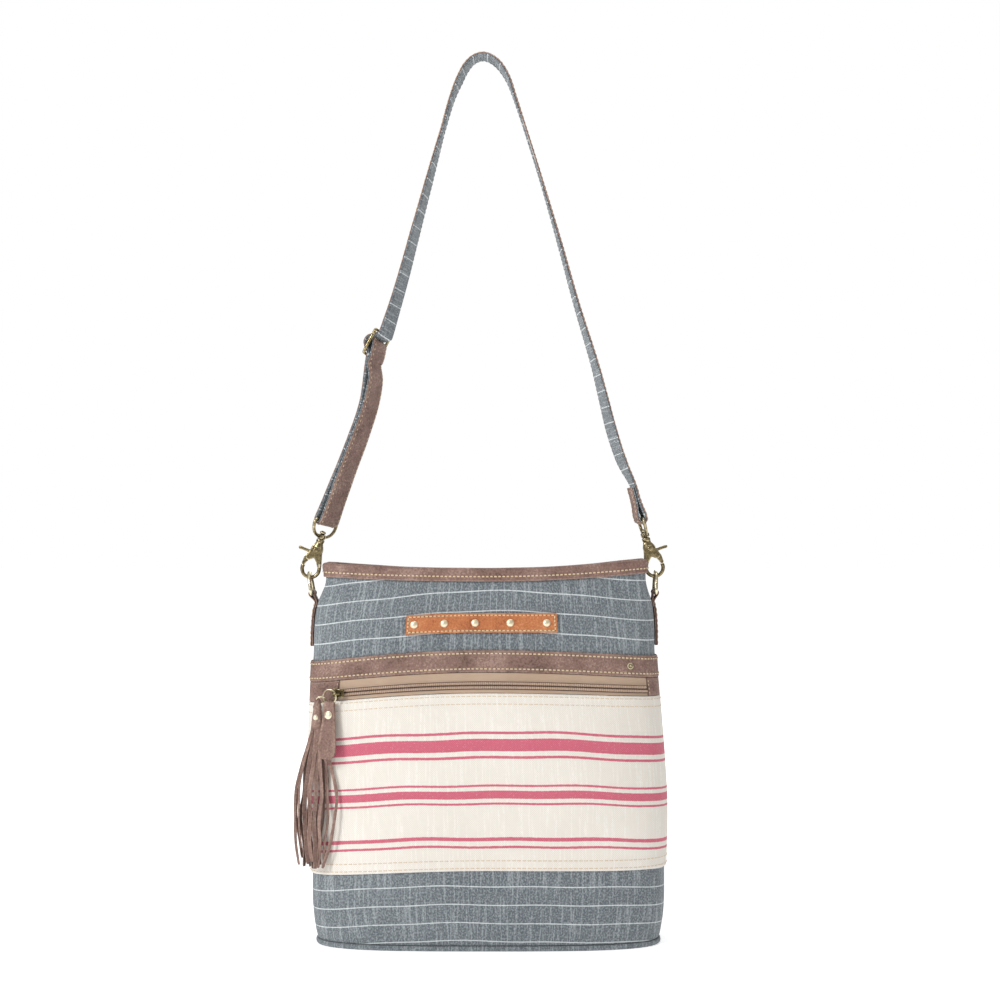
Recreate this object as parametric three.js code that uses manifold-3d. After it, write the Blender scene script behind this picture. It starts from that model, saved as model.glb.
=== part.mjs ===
// A canvas and leather shoulder bag, hanging from the top of its strap and just touching the ground.
// Millimetres, +Z up, the bag's front towards -Y. The origin is under the strap's highest point,
// where a peg or a shoulder carries it.
import * as THREE from "three";
import { mergeVertices } from "three/addons/utils/BufferGeometryUtils.js";
import Module from "manifold-3d";

const wasm = await Module();
wasm.setup();

// The body's own sizes
const bagWidth = 300;
const bagHeight = 320;
const bagDepth = 100;
const bagX = 4; // the body's middle, right of the point that the strap hangs from
const strapDrop = 423.6; // underside of the strap's top to the level of the bag's mouth
const hangHeight = strapDrop + bagHeight; // ground to the underside of the strap's top
const canvasWall = 2;
const gap = 0.4; // clear space between sewn layers
const seamHalf = 0.0003; // half the opening at each side seam, as a share of the way round
const groundZ = -hangHeight;

// The base
const baseThick = 4.2;
const baseProud = 1.4; // how far the welt stands out past the wall

// Leather, cloth and zip laid on the front
const bindingThick = 1.3;
const bindingGap = 0.8; // room for the wall's edge inside the fold
const creamThick = 1.4;
const bandThick = 1.6;
const patchThick = 1.1;
const tapeThick = 0.8;
const patchLeftWide = 29; // leather at each end of the zip, from the bag's side
const patchRightWide = 18;
const coilWide = 4.6;
const coilHigh = 1.5;
const coilDrop = 2; // the coil runs below the middle of its window
const tabLength = 124;
const tabTall = 15.8;
const tabThick = 2;
const studWide = 6.6;
const studHigh = 1.9;
const studGap = 0.35; // under the flat face of a stud or rivet
const bandRivetIn = 32; // from the bag's right side
const bandRivetWide = 4.4;

// Zip slider, its rings, the pull and the tassel
const sliderFromEnd = 2; // past the zip's left end
const sliderLong = 9.5;
const sliderTall = 8.4;
const sliderHigh = 3;
const archWire = 1.3;
const archSpan = 7.8;
const archHigh = 4;
const pullRingRadius = 5.8;
const pullRingWire = 1.3;
const tasselRingRadius = 3.8;
const tasselRingWire = 1.2;
const tasselRingAt = 200; // degrees round the pull ring
const tasselRingTurn = 40; // degrees that it faces forwards
const pullLength = 46;
const pullNeck = 8.6;
const pullWide = 15.6;
const pullLeather = 1.2;
const pullTilt = 7.6; // degrees that its lower end stands off the tassel
const ringSlack = 0.8; // play of the pull ring in the slider's arch
const capWide = 6.4;
const capHigh = 1.6;
const tasselNeck = 5.4;
const tasselHeadWide = 10.4;
const tasselHeadTall = 22;
const tasselHeadThick = 6.5;
const strandWide = 3.4;
const strandThick = 1.6;
const strandBack = 1.8; // how far the strands swing behind the ring's plane under the pull
const strandFore = 1; // and in front of it where the bag swells
const tasselFall = 116; // longest strand, below the head

// Side tabs and D rings
const sideTabWide = 18;
const sideTabFall = 44; // bar of the ring to the tab's lower end
const sideTabLeather = 1.2;
const ringWire = 3;
const ringInnerWide = 20;
const ringRise = 17.5; // middle of the bar to the middle of the bow's top
const ringClear = 0.3; // between a wire and the leather or metal round it

// Hooks, in distances down from the eye's bar
const eyeWire = 2.8;
const eyeInnerWide = 26.8;
const eyeDrop = 14; // to the middle of its bow
const hubRadius = 3.6;
const hubTall = 3.8;
const postRadius = 1.45;
const headRadius = 2.7;
const headTall = 2.6;
const turnClear = 0.3; // round the post and between eye and collar
const collarRadius = 3.5;
const collarTall = 3.2;
const hookDeep = 4.8; // front to back
const leverDeep = 2;
const slotClear = 0.3;
const slotIn = 3.4; // from the rivet back into the plate
const slotUp = 5; // above the rivet
const rivetRadius = 1.4;
const rivetHeadRadius = 2.3;
const rivetHeadTall = 0.9;
const rivetDrop = 26;
const rivetOut = 1.2; // sideways from the line of the post
const holeDrop = 42.6;
const holeOut = 1;
const holeRadius = 5.6;
const plateMargin = 1.2; // metal beyond the rivet's head
const clawThick = 3.2;
const clawFrom = 150; // degrees round the hole where the claw leaves the plate
const clawRoot = 100; // and where the hole's edge meets it
const clawEnd = 15; // above level where the claw's tip ends
const leverLong = 14;
const leverRound = 3.4; // its round end, about the rivet
const thumbTall = 2.8; // its end, under the thumb
const gateWide = 3;
const ringSeat = 0.6; // between the ring's wire and the bottom of the hook's hole

// The strap
const strapWide = 25;
const strapLayer = 1.2; // cloth, and again leather
const layerGap = 0.3;
const strapThick = 2 * strapLayer + layerGap;
const tailLength = 28; // sewn back above the right hook
const facet = 16; // longest step along a curved piece

// The strap's slider
const frameWire = 2.6;
const frameInnerWide = 26.6;
const frameReach = 11; // middle bar to each outer bar

// Cross-sections of the body. up: share of the height; wide: half width, share of the width; front and
// back: share of the depth; square: 2 is an ellipse and more is boxier; dent: how far the side's middle
// folds in, share of the depth; lean: sideways, share of the width.
const sections = [
  { up: 0.0, wide: 0.478, front: 0.45, back: 0.43, square: 3.3, dent: 0.0, lean: 0.005 },
  { up: 0.035, wide: 0.484, front: 0.47, back: 0.445, square: 3.2, dent: 0.0, lean: 0.005 },
  { up: 0.1, wide: 0.492, front: 0.495, back: 0.46, square: 3.1, dent: 0.0, lean: 0.005 },
  { up: 0.2, wide: 0.4935, front: 0.515, back: 0.475, square: 3.0, dent: 0.0, lean: 0.005 },
  { up: 0.36, wide: 0.4985, front: 0.525, back: 0.475, square: 2.9, dent: 0.0, lean: 0.003 },
  { up: 0.5, wide: 0.495, front: 0.52, back: 0.465, square: 2.9, dent: 0.0, lean: -0.0015 },
  { up: 0.63, wide: 0.488, front: 0.495, back: 0.445, square: 2.9, dent: 0.0, lean: -0.005 },
  { up: 0.76, wide: 0.479, front: 0.445, back: 0.405, square: 2.9, dent: 0.0, lean: -0.007 },
  { up: 0.82, wide: 0.478, front: 0.415, back: 0.38, square: 2.9, dent: 0.0, lean: -0.0065 },
  { up: 0.88, wide: 0.4735, front: 0.38, back: 0.35, square: 3.0, dent: 0.006, lean: -0.0055 },
  { up: 0.92, wide: 0.466, front: 0.35, back: 0.325, square: 3.2, dent: 0.035, lean: -0.0035 },
  { up: 0.955, wide: 0.466, front: 0.325, back: 0.3, square: 3.3, dent: 0.085, lean: -0.0035 },
  { up: 1.01, wide: 0.468, front: 0.3, back: 0.275, square: 3.3, dent: 0.09, lean: -0.004 },
];
const sideDentWide = 13;

// Edges that cross the front: height at the middle and at each side, as shares of the bag's height.
const edges = {
  rimTop: { middle: 0.981, left: 0.993, right: 1.003, behind: 0.972 },
  rimLow: { middle: 0.946, left: 0.956, right: 0.967, behind: 0.937 },
  bandTop: { middle: 0.772, left: 0.735, right: 0.75 },
  bandLow: { middle: 0.716, left: 0.681, right: 0.694 },
  creamTop: { middle: 0.663, left: 0.628, right: 0.646 },
  creamLow: { middle: 0.211, left: 0.184, right: 0.203 },
  studTab: { middle: 0.841, left: 0.812, right: 0.841 },
};

// Soft dents and swells of the walls. x: share of the width from the middle; up: share of the height;
// across and tall: their reach, shares of the width and height; deep: inwards, millimetres; side: -1 front,
// 1 back.
const dents = [
  { x: -0.41, up: 0.935, across: 0.05, tall: 0.03, deep: 3.2, side: -1 },
  { x: 0.4, up: 0.925, across: 0.06, tall: 0.035, deep: 1.8, side: -1 },
  { x: -0.1, up: 0.87, across: 0.2, tall: 0.06, deep: 1.2, side: -1 },
  { x: 0.18, up: 0.12, across: 0.13, tall: 0.05, deep: 1.1, side: -1 },
  { x: -0.22, up: 0.1, across: 0.1, tall: 0.05, deep: -1.3, side: -1 },
  { x: -0.15, up: 0.8, across: 0.14, tall: 0.09, deep: 2.2, side: 1 },
  { x: 0.22, up: 0.5, across: 0.12, tall: 0.16, deep: 1.8, side: 1 },
];

// Where the strap's middle line runs, from above the right hook to the top, and from there to the slider.
// out: share of the way out to the hook's eye; down: share of the way down to it; turn: degrees that the
// width is turned from front to back, positive with the front edge to the right.
const rightRoute = [
  { out: 0.9508, down: 0.9394, turn: 7 },
  { out: 0.8793, down: 0.8742, turn: 14 },
  { out: 0.8167, down: 0.809, turn: 15 },
  { out: 0.7645, down: 0.7374, turn: 12 },
  { out: 0.7116, down: 0.6658, turn: 8 },
  { out: 0.5976, down: 0.5364, turn: 3 },
  { out: 0.4933, down: 0.4068, turn: 0 },
  { out: 0.3778, down: 0.2703, turn: -4 },
  { out: 0.2735, down: 0.155, turn: -5 },
  { out: 0.2116, down: 0.0898, turn: -3 },
  { out: 0.1639, down: 0.0449, turn: 0 },
  { out: 0.108, down: 0.0154, turn: 2 },
  { out: 0.0484, down: 0, turn: 1 },
];
const leftRoute = [
  { out: 0.0533, down: 0.0031, turn: -2 },
  { out: 0.1005, down: 0.0194, turn: -5 },
  { out: 0.1446, down: 0.0475, turn: -6 },
  { out: 0.1903, down: 0.0844, turn: -2 },
  { out: 0.2549, down: 0.1585, turn: 0 },
  { out: 0.3272, down: 0.248, turn: -6 },
  { out: 0.4247, down: 0.3694, turn: -12 },
  { out: 0.5099, down: 0.477, turn: -16 },
  { out: 0.5784, down: 0.5547, turn: -20 },
];
// The doubled stretch between the slider and the left hook: the line midway between its two layers.
const doubleRoute = [
  { out: 0.7002, down: 0.6927, apart: 4.6 },
  { out: 0.7275, down: 0.749, apart: 3.5 },
  { out: 0.7976, down: 0.8206, apart: 3.3 },
  { out: 0.879, down: 0.8929, apart: 3.6 },
  { out: 0.9528, down: 0.9586, apart: 5 },
];
// lean: degrees that the slider's top leans to the right
const slider = { out: 0.6773, down: 0.6199, lean: 27.7, turn: -26 };

// Each end of the strap. side: share of the bag's width from its middle to the eye's bar; above: the bar
// over the mouth; lean: how far the hook leans outwards; eyeTurn: the eye on its swivel; ringLean: the
// ring's top outwards.
const ends = [
  { name: "left", side: -0.4513, above: 32.4, lean: 17, eyeTurn: -34, ringLean: 9 },
  { name: "right", side: 0.434, above: 34, lean: 14.5, eyeTurn: 4, ringLean: 2 },
];

// The tassel's strands. middle and end: sideways at two thirds of the way and at the end; fall: length;
// all shares of the longest fall. front: which of the two layers.
const strands = [
  { middle: -0.155, end: -0.106, fall: 0.97, front: 0 },
  { middle: -0.128, end: -0.092, fall: 1.0, front: 1 },
  { middle: -0.098, end: -0.072, fall: 0.93, front: 0 },
  { middle: -0.068, end: -0.056, fall: 0.99, front: 1 },
  { middle: -0.038, end: -0.03, fall: 0.96, front: 0 },
  { middle: -0.006, end: -0.004, fall: 1.0, front: 1 },
  { middle: 0.026, end: 0.016, fall: 0.94, front: 0 },
  { middle: 0.056, end: 0.036, fall: 0.99, front: 1 },
  { middle: 0.086, end: 0.052, fall: 0.96, front: 0 },
  { middle: 0.114, end: 0.064, fall: 1.0, front: 1 },
  { middle: 0.141, end: 0.07, fall: 0.98, front: 0 },
];

const materials = {
  canvas: new THREE.MeshStandardMaterial({ color: 0x7b8489, roughness: 0.95 }),
  cream: new THREE.MeshStandardMaterial({ color: 0xefe8dc, roughness: 0.95 }),
  brownLeather: new THREE.MeshStandardMaterial({ color: 0x76594f, roughness: 0.7 }),
  tanLeather: new THREE.MeshStandardMaterial({ color: 0xb5652f, roughness: 0.6 }),
  zipTape: new THREE.MeshStandardMaterial({ color: 0xb89a7e, roughness: 0.9 }),
  zipCoil: new THREE.MeshStandardMaterial({ color: 0xa98c74, roughness: 0.6 }),
  brass: new THREE.MeshStandardMaterial({ color: 0x8d7b4d, roughness: 0.35, metalness: 1 }),
  paleBrass: new THREE.MeshStandardMaterial({ color: 0xd8c79a, roughness: 0.3, metalness: 1 }),
};

const bag = new THREE.Group();

const vec = (x, y, z) => new THREE.Vector3(x, y, z);
const radians = THREE.MathUtils.degToRad;

function place(name, geometry, material, parent = bag) {
  const mesh = new THREE.Mesh(geometry, material);
  mesh.name = name;
  parent.add(mesh);
  return mesh;
}

// Solids from meshes and back, for the few joins and cuts.
function solid(geometry) {
  const bare = (geometry.index ? geometry.toNonIndexed() : geometry.clone());
  for (const attribute of ["normal", "uv"]) bare.deleteAttribute(attribute);
  const merged = mergeVertices(bare, 1e-3);
  return new wasm.Manifold(
    new wasm.Mesh({
      numProp: 3,
      vertProperties: merged.attributes.position.array,
      triVerts: new Uint32Array(merged.index.array),
    }),
  );
}

function geometryOf(made) {
  const mesh = made.getMesh();
  const geometry = new THREE.BufferGeometry();
  geometry.setAttribute("position", new THREE.BufferAttribute(new Float32Array(mesh.vertProperties), 3));
  geometry.setIndex(new THREE.BufferAttribute(new Uint32Array(mesh.triVerts), 1));
  return geometry;
}

const joined = (...geometries) =>
  geometryOf(geometries.map(solid).reduce((sum, next) => sum.add(next)));

// A closed surface from rings of points: each ring joins the next, and the ends are capped or joined.
function loft(rings, closed) {
  const count = rings[0].length;
  const positions = rings.flat().flatMap((p) => [p.x, p.y, p.z]);
  const index = [];
  const last = closed ? rings.length : rings.length - 1;
  for (let i = 0; i < last; i += 1) {
    const here = i * count;
    const next = ((i + 1) % rings.length) * count;
    for (let j = 0; j < count; j += 1) {
      const k = (j + 1) % count;
      index.push(here + j, here + k, next + k, here + j, next + k, next + j);
    }
  }
  if (!closed) {
    const end = (rings.length - 1) * count;
    const cap = THREE.ShapeUtils.triangulateShape(flatten(rings[0]), []);
    for (const [a, b, c] of cap) index.push(a, c, b);
    const far = THREE.ShapeUtils.triangulateShape(flatten(rings[rings.length - 1]), []);
    for (const [a, b, c] of far) index.push(end + a, end + b, end + c);
  }
  const geometry = new THREE.BufferGeometry();
  geometry.setAttribute("position", new THREE.Float32BufferAttribute(positions, 3));
  geometry.setIndex(index);
  return solid(geometry).volume() < 0 ? flipped(geometry) : geometry;
}

function flipped(geometry) {
  const index = geometry.index.array;
  for (let i = 0; i < index.length; i += 3) [index[i + 1], index[i + 2]] = [index[i + 2], index[i + 1]];
  return geometry;
}

// A flat ring of points in its own plane, wound the way that its points run.
function flatten(ring) {
  const u = ring[1].clone().sub(ring[0]).normalize();
  const normal = vec(0, 0, 0);
  ring.forEach((p, i) => {
    const next = ring[(i + 1) % ring.length];
    normal.add(p.clone().sub(ring[0]).cross(next.clone().sub(ring[0])));
  });
  const v = normal.normalize().clone().cross(u);
  return ring.map((p) => new THREE.Vector2(p.clone().sub(ring[0]).dot(u), p.clone().sub(ring[0]).dot(v)));
}

// The row of a table at any value of its up column, on a smooth curve through the rows.
function rowAt(table, up) {
  const last = table.length - 1;
  let i = 0;
  while (i < last - 1 && table[i + 1].up < up) i += 1;
  const [a, b, c, d] = [table[Math.max(i - 1, 0)], table[i], table[i + 1], table[Math.min(i + 2, last)]];
  const span = c.up - b.up;
  const t = THREE.MathUtils.clamp((up - b.up) / span, 0, 1);
  const row = {};
  for (const column of Object.keys(b)) {
    const leave = (span * (c[column] - a[column])) / (c.up - a.up);
    const arrive = (span * (d[column] - b[column])) / (d.up - b.up);
    row[column] =
      (1 + 2 * t) * (1 - t) ** 2 * b[column] +
      t * (1 - t) ** 2 * leave +
      t * t * (3 - 2 * t) * c[column] +
      t * t * (t - 1) * arrive;
  }
  return row;
}

// Half of the body's outline at a height, from the left seam to the right one, with its length along the way.
function halfOutline(height, side) {
  const row = rowAt(sections, height / bagHeight);
  const half = row.wide * bagWidth;
  const deep = (side < 0 ? row.front : row.back) * bagDepth;
  const steps = 120;
  const points = [];
  let along = 0;
  for (let i = 0; i <= steps; i += 1) {
    const angle = (Math.PI * i) / steps;
    const c = Math.cos(angle);
    const y = side * deep * Math.abs(Math.sin(angle)) ** (2 / row.square);
    const folded = row.dent * bagDepth * Math.exp(-((y / sideDentWide) ** 2));
    const x = -Math.sign(c) * (half * Math.abs(c) ** (2 / row.square) - folded * Math.abs(c) ** 2);
    if (i) along += Math.hypot(x - points[i - 1].x, y - points[i - 1].y);
    points.push({ x, y, along });
  }
  return { points, length: along, lean: row.lean * bagWidth };
}

// A point of the body's outer surface. share: 0 at the left seam, 0.25 at the front's middle, 0.5 at the
// right seam and on round the back; out: distance outwards from the surface.
function bodyPoint(share, height, out) {
  const side = share <= 0.5 ? -1 : 1;
  const { points, length, lean } = halfOutline(height, side);
  const along = THREE.MathUtils.clamp(side < 0 ? 2 * share : 2 - 2 * share, 0, 1) * length;
  let i = 1;
  while (i < points.length - 1 && points[i].along < along) i += 1;
  const [a, b] = [points[i - 1], points[i]];
  const t = (along - a.along) / (b.along - a.along);
  const x = a.x + (b.x - a.x) * t;
  const y = a.y + (b.y - a.y) * t;
  const [p, q] = [points[Math.max(i - 2, 0)], points[Math.min(i + 1, points.length - 1)]];
  let normal = new THREE.Vector2(-side * (q.y - p.y), side * (q.x - p.x)).normalize();
  if (along < 1e-6) normal = new THREE.Vector2(-1, 0);
  if (along > length - 1e-6) normal = new THREE.Vector2(1, 0);
  let push = out;
  for (const d of dents.filter((one) => one.side === side)) {
    const reach = ((x / bagWidth - d.x) / d.across) ** 2 + ((height / bagHeight - d.up) / d.tall) ** 2;
    push -= d.deep * Math.exp(-reach) * Math.min(1, Math.abs(y) / 10);
  }
  return vec(bagX + lean + x + normal.x * push, y + normal.y * push, groundZ + height);
}

// The columns that every wall and covering share, closer together at the corners, so that their facets agree.
const halfColumns = 20;
const columns = [];
for (let i = 0; i <= 2 * halfColumns; i += 1) {
  const t = (i % halfColumns) / halfColumns;
  const eased = 0.6 * t + 0.4 * (0.5 - 0.5 * Math.cos(Math.PI * t));
  columns.push(Math.floor(i / halfColumns) * 0.5 + 0.5 * eased);
}

function gridPoint(share, height, out) {
  let i = 1;
  while (i < columns.length - 1 && columns[i] < share) i += 1;
  const t = (share - columns[i - 1]) / (columns[i] - columns[i - 1]);
  if (t < 1e-9) return bodyPoint(columns[i - 1], height, out);
  if (t > 1 - 1e-9) return bodyPoint(columns[i], height, out);
  return bodyPoint(columns[i - 1], height, out).lerp(bodyPoint(columns[i], height, out), t);
}

// The height of a named edge at a share of the way round.
function edgeHeight(edge, share) {
  const x = bodyPoint(share, bagHeight / 2, 0).x - bagX;
  const u = THREE.MathUtils.clamp(x / (bagWidth / 2), -1, 1);
  const middle = share > 0.5 && edge.behind !== undefined ? edge.behind : edge.middle;
  return bagHeight * (middle + ((u < 0 ? edge.left : edge.right) - middle) * u * u);
}

// The share of the way round at a distance from the front's middle, at a height.
function shareAtX(x, height) {
  let [low, high] = [0, 0.5];
  for (let i = 0; i < 40; i += 1) {
    const middle = (low + high) / 2;
    if (bodyPoint(middle, height, 0).x - bagX < x) low = middle;
    else high = middle;
  }
  return (low + high) / 2;
}

// A sheet that follows the body between two shares, over a list of heights, from one offset to another.
function sheet({ from, to, heights, inner, outer }) {
  const shares = [from, ...columns.filter((s) => s > from + 0.002 && s < to - 0.002), to];
  const rings = shares.map((share) => {
    const rows = heights(share);
    const outside = rows.map((height) => gridPoint(share, height, outer));
    const inside = rows.map((height) => gridPoint(share, height, inner));
    return [...outside, ...inside.toReversed()];
  });
  return loft(rings, false);
}

// Heights between two others, both included
const between = (low, high, count) =>
  Array.from({ length: count + 1 }, (_, i) => low + ((high - low) * i) / count);

// Lines across the front that the wall and its coverings share, so that they lie flat on each other
const lineAt = (name) => (share) => edgeHeight(edges[name], share);
const [rimTopAt, rimLowAt, bandTopAt, bandLowAt] = ["rimTop", "rimLow", "bandTop", "bandLow"].map(lineAt);
const [creamTopAt, creamLowAt, tabMiddleAt] = ["creamTop", "creamLow", "studTab"].map(lineAt);
const creamRowsAt = (share) => between(creamLowAt(share), creamTopAt(share), 4);
const tabRowsAt = (share) => between(tabMiddleAt(share) - tabTall / 2, tabMiddleAt(share) + tabTall / 2, 2);

// Walls
const wallLow = baseThick + gap;
const wallTopAt = (share) => rimTopAt(share) - bindingThick - bindingGap;

place("front_panel", sheet({
  from: seamHalf, to: 0.5 - seamHalf, inner: -canvasWall, outer: 0,
  heights: (s) => [
    ...between(wallLow, creamLowAt(s), 3).slice(0, -1), ...creamRowsAt(s), bandLowAt(s), bandTopAt(s),
    ...tabRowsAt(s), (tabRowsAt(s)[2] + rimLowAt(s)) / 2, rimLowAt(s), wallTopAt(s),
  ],
}), materials.canvas);
place("back_panel", sheet({
  from: 0.5 + seamHalf, to: 1 - seamHalf, inner: -canvasWall, outer: 0,
  heights: (s) => [...between(wallLow, rimLowAt(s), 9), wallTopAt(s)],
}), materials.canvas);

// The base: a flat panel with a rounded welt that the walls stand on
const baseRows = [
  { up: 0, out: baseProud - 1.2 },
  { up: 1.1, out: baseProud },
  { up: baseThick - 1.1, out: baseProud },
  { up: baseThick, out: baseProud - 1 },
];
const aroundColumns = columns.slice(0, -1);
const baseRings = baseRows.map(({ up, out }) => aroundColumns.map((share) => {
  const p = bodyPoint(share, 0, out);
  return vec(p.x, p.y, groundZ + up);
}));
place("base_panel", loft(baseRings, false), materials.canvas);

// The binding: leather folded over the top edge, all the way round
function bindingRing(share) {
  const [top, low] = [rimTopAt(share), rimLowAt(share)];
  const [out, seat] = [bindingGap + bindingThick, bindingGap];
  const far = -canvasWall;
  const profile = [
    [out, low], [out, top - bindingThick], [0, top],
    [far, top], [far - out, top - bindingThick], [far - out, low],
    [far - seat, low], [far - seat, top - bindingThick], [seat, top - bindingThick], [seat, low],
  ];
  return profile.map(([offset, height]) => bodyPoint(share, height, offset));
}
place("rim_binding", loft(aroundColumns.map(bindingRing), true), materials.brownLeather);

// Coverings of the front
const frontFrom = 2 * seamHalf;
const frontTo = 0.5 - 2 * seamHalf;
place("pocket_band", sheet({
  from: frontFrom, to: frontTo, heights: (s) => [bandLowAt(s), bandTopAt(s)],
  inner: gap, outer: gap + bandThick,
}), materials.brownLeather);
place("cream_panel", sheet({
  from: frontFrom, to: frontTo, heights: creamRowsAt, inner: gap, outer: gap + creamThick,
}), materials.cream);

const zipHeight = bagHeight * (edges.bandLow.middle + edges.creamTop.middle) / 2;
const zipLeft = patchLeftWide - bagWidth / 2;
const zipFrom = shareAtX(zipLeft, zipHeight);
const zipTo = shareAtX(bagWidth / 2 - patchRightWide, zipHeight);
const windowLow = (share) => creamTopAt(share) + gap;
const windowHigh = (share) => bandLowAt(share) - gap;
const endGap = 0.001; // a share of the way round
function windowPiece(from, to, thick) {
  return sheet({ from, to, heights: (s) => [windowLow(s), windowHigh(s)], inner: gap, outer: gap + thick });
}
place("zip_patch_left", windowPiece(frontFrom, zipFrom, patchThick), materials.brownLeather);
place("zip_patch_right", windowPiece(zipTo, frontTo, patchThick), materials.brownLeather);
place("zip_tape", windowPiece(zipFrom + endGap, zipTo - endGap, tapeThick), materials.zipTape);

const coilBack = gap + tapeThick + gap;
const coilAt = (share) => (windowLow(share) + windowHigh(share)) / 2 - coilDrop;
place("zip_coil", sheet({
  from: zipFrom + 2 * endGap, to: zipTo - 2 * endGap,
  heights: (s) => [coilAt(s) - coilWide / 2, coilAt(s) + coilWide / 2],
  inner: coilBack, outer: coilBack + coilHigh,
}), materials.zipCoil);

// Where something round sits on the front: a group whose +Z points out of the surface and +Y up
function seat(x, height, out) {
  const share = shareAtX(x, height);
  const step = 3; // reach over which the surface's slope is taken
  const near = step / bagWidth / 4;
  const across = gridPoint(share + near, height, out).sub(gridPoint(share - near, height, out)).normalize();
  const up = gridPoint(share, height + step, out).sub(gridPoint(share, height - step, out)).normalize();
  const outwards = across.clone().cross(up).normalize();
  const group = new THREE.Group();
  group.position.copy(gridPoint(share, height, out));
  group.quaternion.setFromRotationMatrix(
    new THREE.Matrix4().makeBasis(outwards.clone().cross(up).negate().normalize(), up, outwards),
  );
  bag.add(group);
  return group;
}

// A domed cap, flat side down, rising along +Z
function dome(wide, high, sides = 12) {
  const r = wide / 2;
  const profile = [
    [0, 0], [r * 0.94, 0], [r, high * 0.25], [r * 0.82, high * 0.72], [r * 0.4, high * 0.96], [0, high],
  ];
  const geometry = new THREE.LatheGeometry(profile.map(([x, y]) => new THREE.Vector2(x, y)), sides);
  return geometry.rotateX(Math.PI / 2);
}

// The tan strip with its studs
const tabHeight = bagHeight * edges.studTab.middle;
place("stud_tab", sheet({
  from: shareAtX(-tabLength / 2 - bagX, tabHeight), to: shareAtX(tabLength / 2 - bagX, tabHeight),
  heights: tabRowsAt, inner: gap, outer: gap + tabThick,
}), materials.tanLeather);
const studPlaces = [-0.446, -0.247, -0.043, 0.19, 0.431]; // shares of the tab's length
studPlaces.forEach((share, i) => {
  const x = share * tabLength - bagX;
  const group = seat(x, tabMiddleAt(shareAtX(x, tabHeight)), gap + tabThick + studGap);
  place(`stud_${i + 1}`, dome(studWide, studHigh), materials.paleBrass, group);
});
const bandMiddle = (share) => (bandLowAt(share) + bandTopAt(share)) / 2;
const bandRivetX = bagWidth / 2 - bandRivetIn;
const bandRivetHeight = bandMiddle(shareAtX(bandRivetX, bagHeight * edges.bandTop.middle));
place("band_rivet", dome(bandRivetWide, capHigh), materials.brass,
  seat(bandRivetX, bandRivetHeight, gap + bandThick + studGap));

// A closed loop of wire through points of one plane
function wireLoop(points, across, wire, sides = 8) {
  const rings = points.map((p, i) => {
    const [before, after] = [points.at(i - 1), points[(i + 1) % points.length]];
    const along = after.clone().sub(before).normalize();
    const inwards = across.clone().cross(along);
    return Array.from({ length: sides }, (_, j) => {
      const angle = (2 * Math.PI * (j + 0.5)) / sides;
      return p.clone().addScaledVector(across, (wire / 2) * Math.cos(angle))
        .addScaledVector(inwards, (wire / 2) * Math.sin(angle));
    });
  });
  return loft(rings, true);
}

// A round loop, and a D: its bar along Y at the origin and its bow rising to +Z
function roundLoop(radius, wire, steps = 18) {
  const points = Array.from({ length: steps }, (_, i) => {
    const angle = (2 * Math.PI * i) / steps;
    return vec(radius * Math.cos(angle), radius * Math.sin(angle), 0);
  });
  return wireLoop(points, vec(0, 0, 1), wire);
}

function dLoop(innerWide, rise, wire, square) {
  const half = (innerWide + wire) / 2;
  const corner = 0.12;
  const points = [vec(0, half * (1 - corner), 0), vec(0, -half * (1 - corner), 0)];
  const steps = 12;
  for (let i = 0; i <= steps; i += 1) {
    const angle = (Math.PI * i) / steps;
    const y = -Math.sign(Math.cos(angle)) * half * Math.abs(Math.cos(angle)) ** (2 / square);
    points.push(vec(0, y, rise * Math.max(corner / 2, Math.sin(angle) ** (2 / square))));
  }
  return wireLoop(points, vec(1, 0, 0), wire);
}

// An outline in X and Z, given depth along Y about the middle
function slab(outline, deep) {
  const shape = new THREE.Shape(outline.map(([x, z]) => new THREE.Vector2(x, z)));
  const geometry = new THREE.ExtrudeGeometry(shape, { depth: deep, bevelEnabled: false });
  return geometry.rotateX(Math.PI / 2).translate(0, deep / 2, 0);
}

function arc(x, z, radius, from, to, steps) {
  return Array.from({ length: steps + 1 }, (_, i) => {
    const angle = radians(from + ((to - from) * i) / steps);
    return [x + radius * Math.cos(angle), z + radius * Math.sin(angle)];
  });
}

// Turned about the vertical, from [radius, height] pairs that start and end on the axis
function turned(profile, sides = 12) {
  const geometry = new THREE.LatheGeometry(profile.map(([r, z]) => new THREE.Vector2(r, z)), sides);
  return geometry.rotateX(Math.PI / 2);
}

const pin = (radius, length) => new THREE.CylinderGeometry(radius, radius, length, 12); // along Y

const cut = (geometry, ...tools) =>
  geometryOf(tools.map(solid).reduce((left, tool) => left.subtract(tool), solid(geometry)));

function frameAt(origin, xAxis, zAxis) {
  const group = new THREE.Group();
  group.position.copy(origin);
  const yAxis = zAxis.clone().cross(xAxis).normalize();
  group.quaternion.setFromRotationMatrix(new THREE.Matrix4().makeBasis(xAxis, yAxis, zAxis));
  bag.add(group);
  group.updateMatrixWorld(true);
  return group;
}

const widthAt = (turn) => vec(-Math.sin(radians(turn)), Math.cos(radians(turn)), 0);
const square = (v, to) => v.clone().addScaledVector(to, -v.dot(to)).normalize();

// Hooks: an eye that the strap is sewn round, a hook that turns under it, and the hook's sprung lever
const hubTop = -eyeDrop + hubTall / 2;
const collarTop = -eyeDrop - hubTall / 2 - turnClear;
const headLow = hubTop + turnClear;
const rivetAt = [rivetOut, -rivetDrop];
const wireDrop = holeDrop + holeRadius - ringSeat - ringWire / 2;

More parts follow.
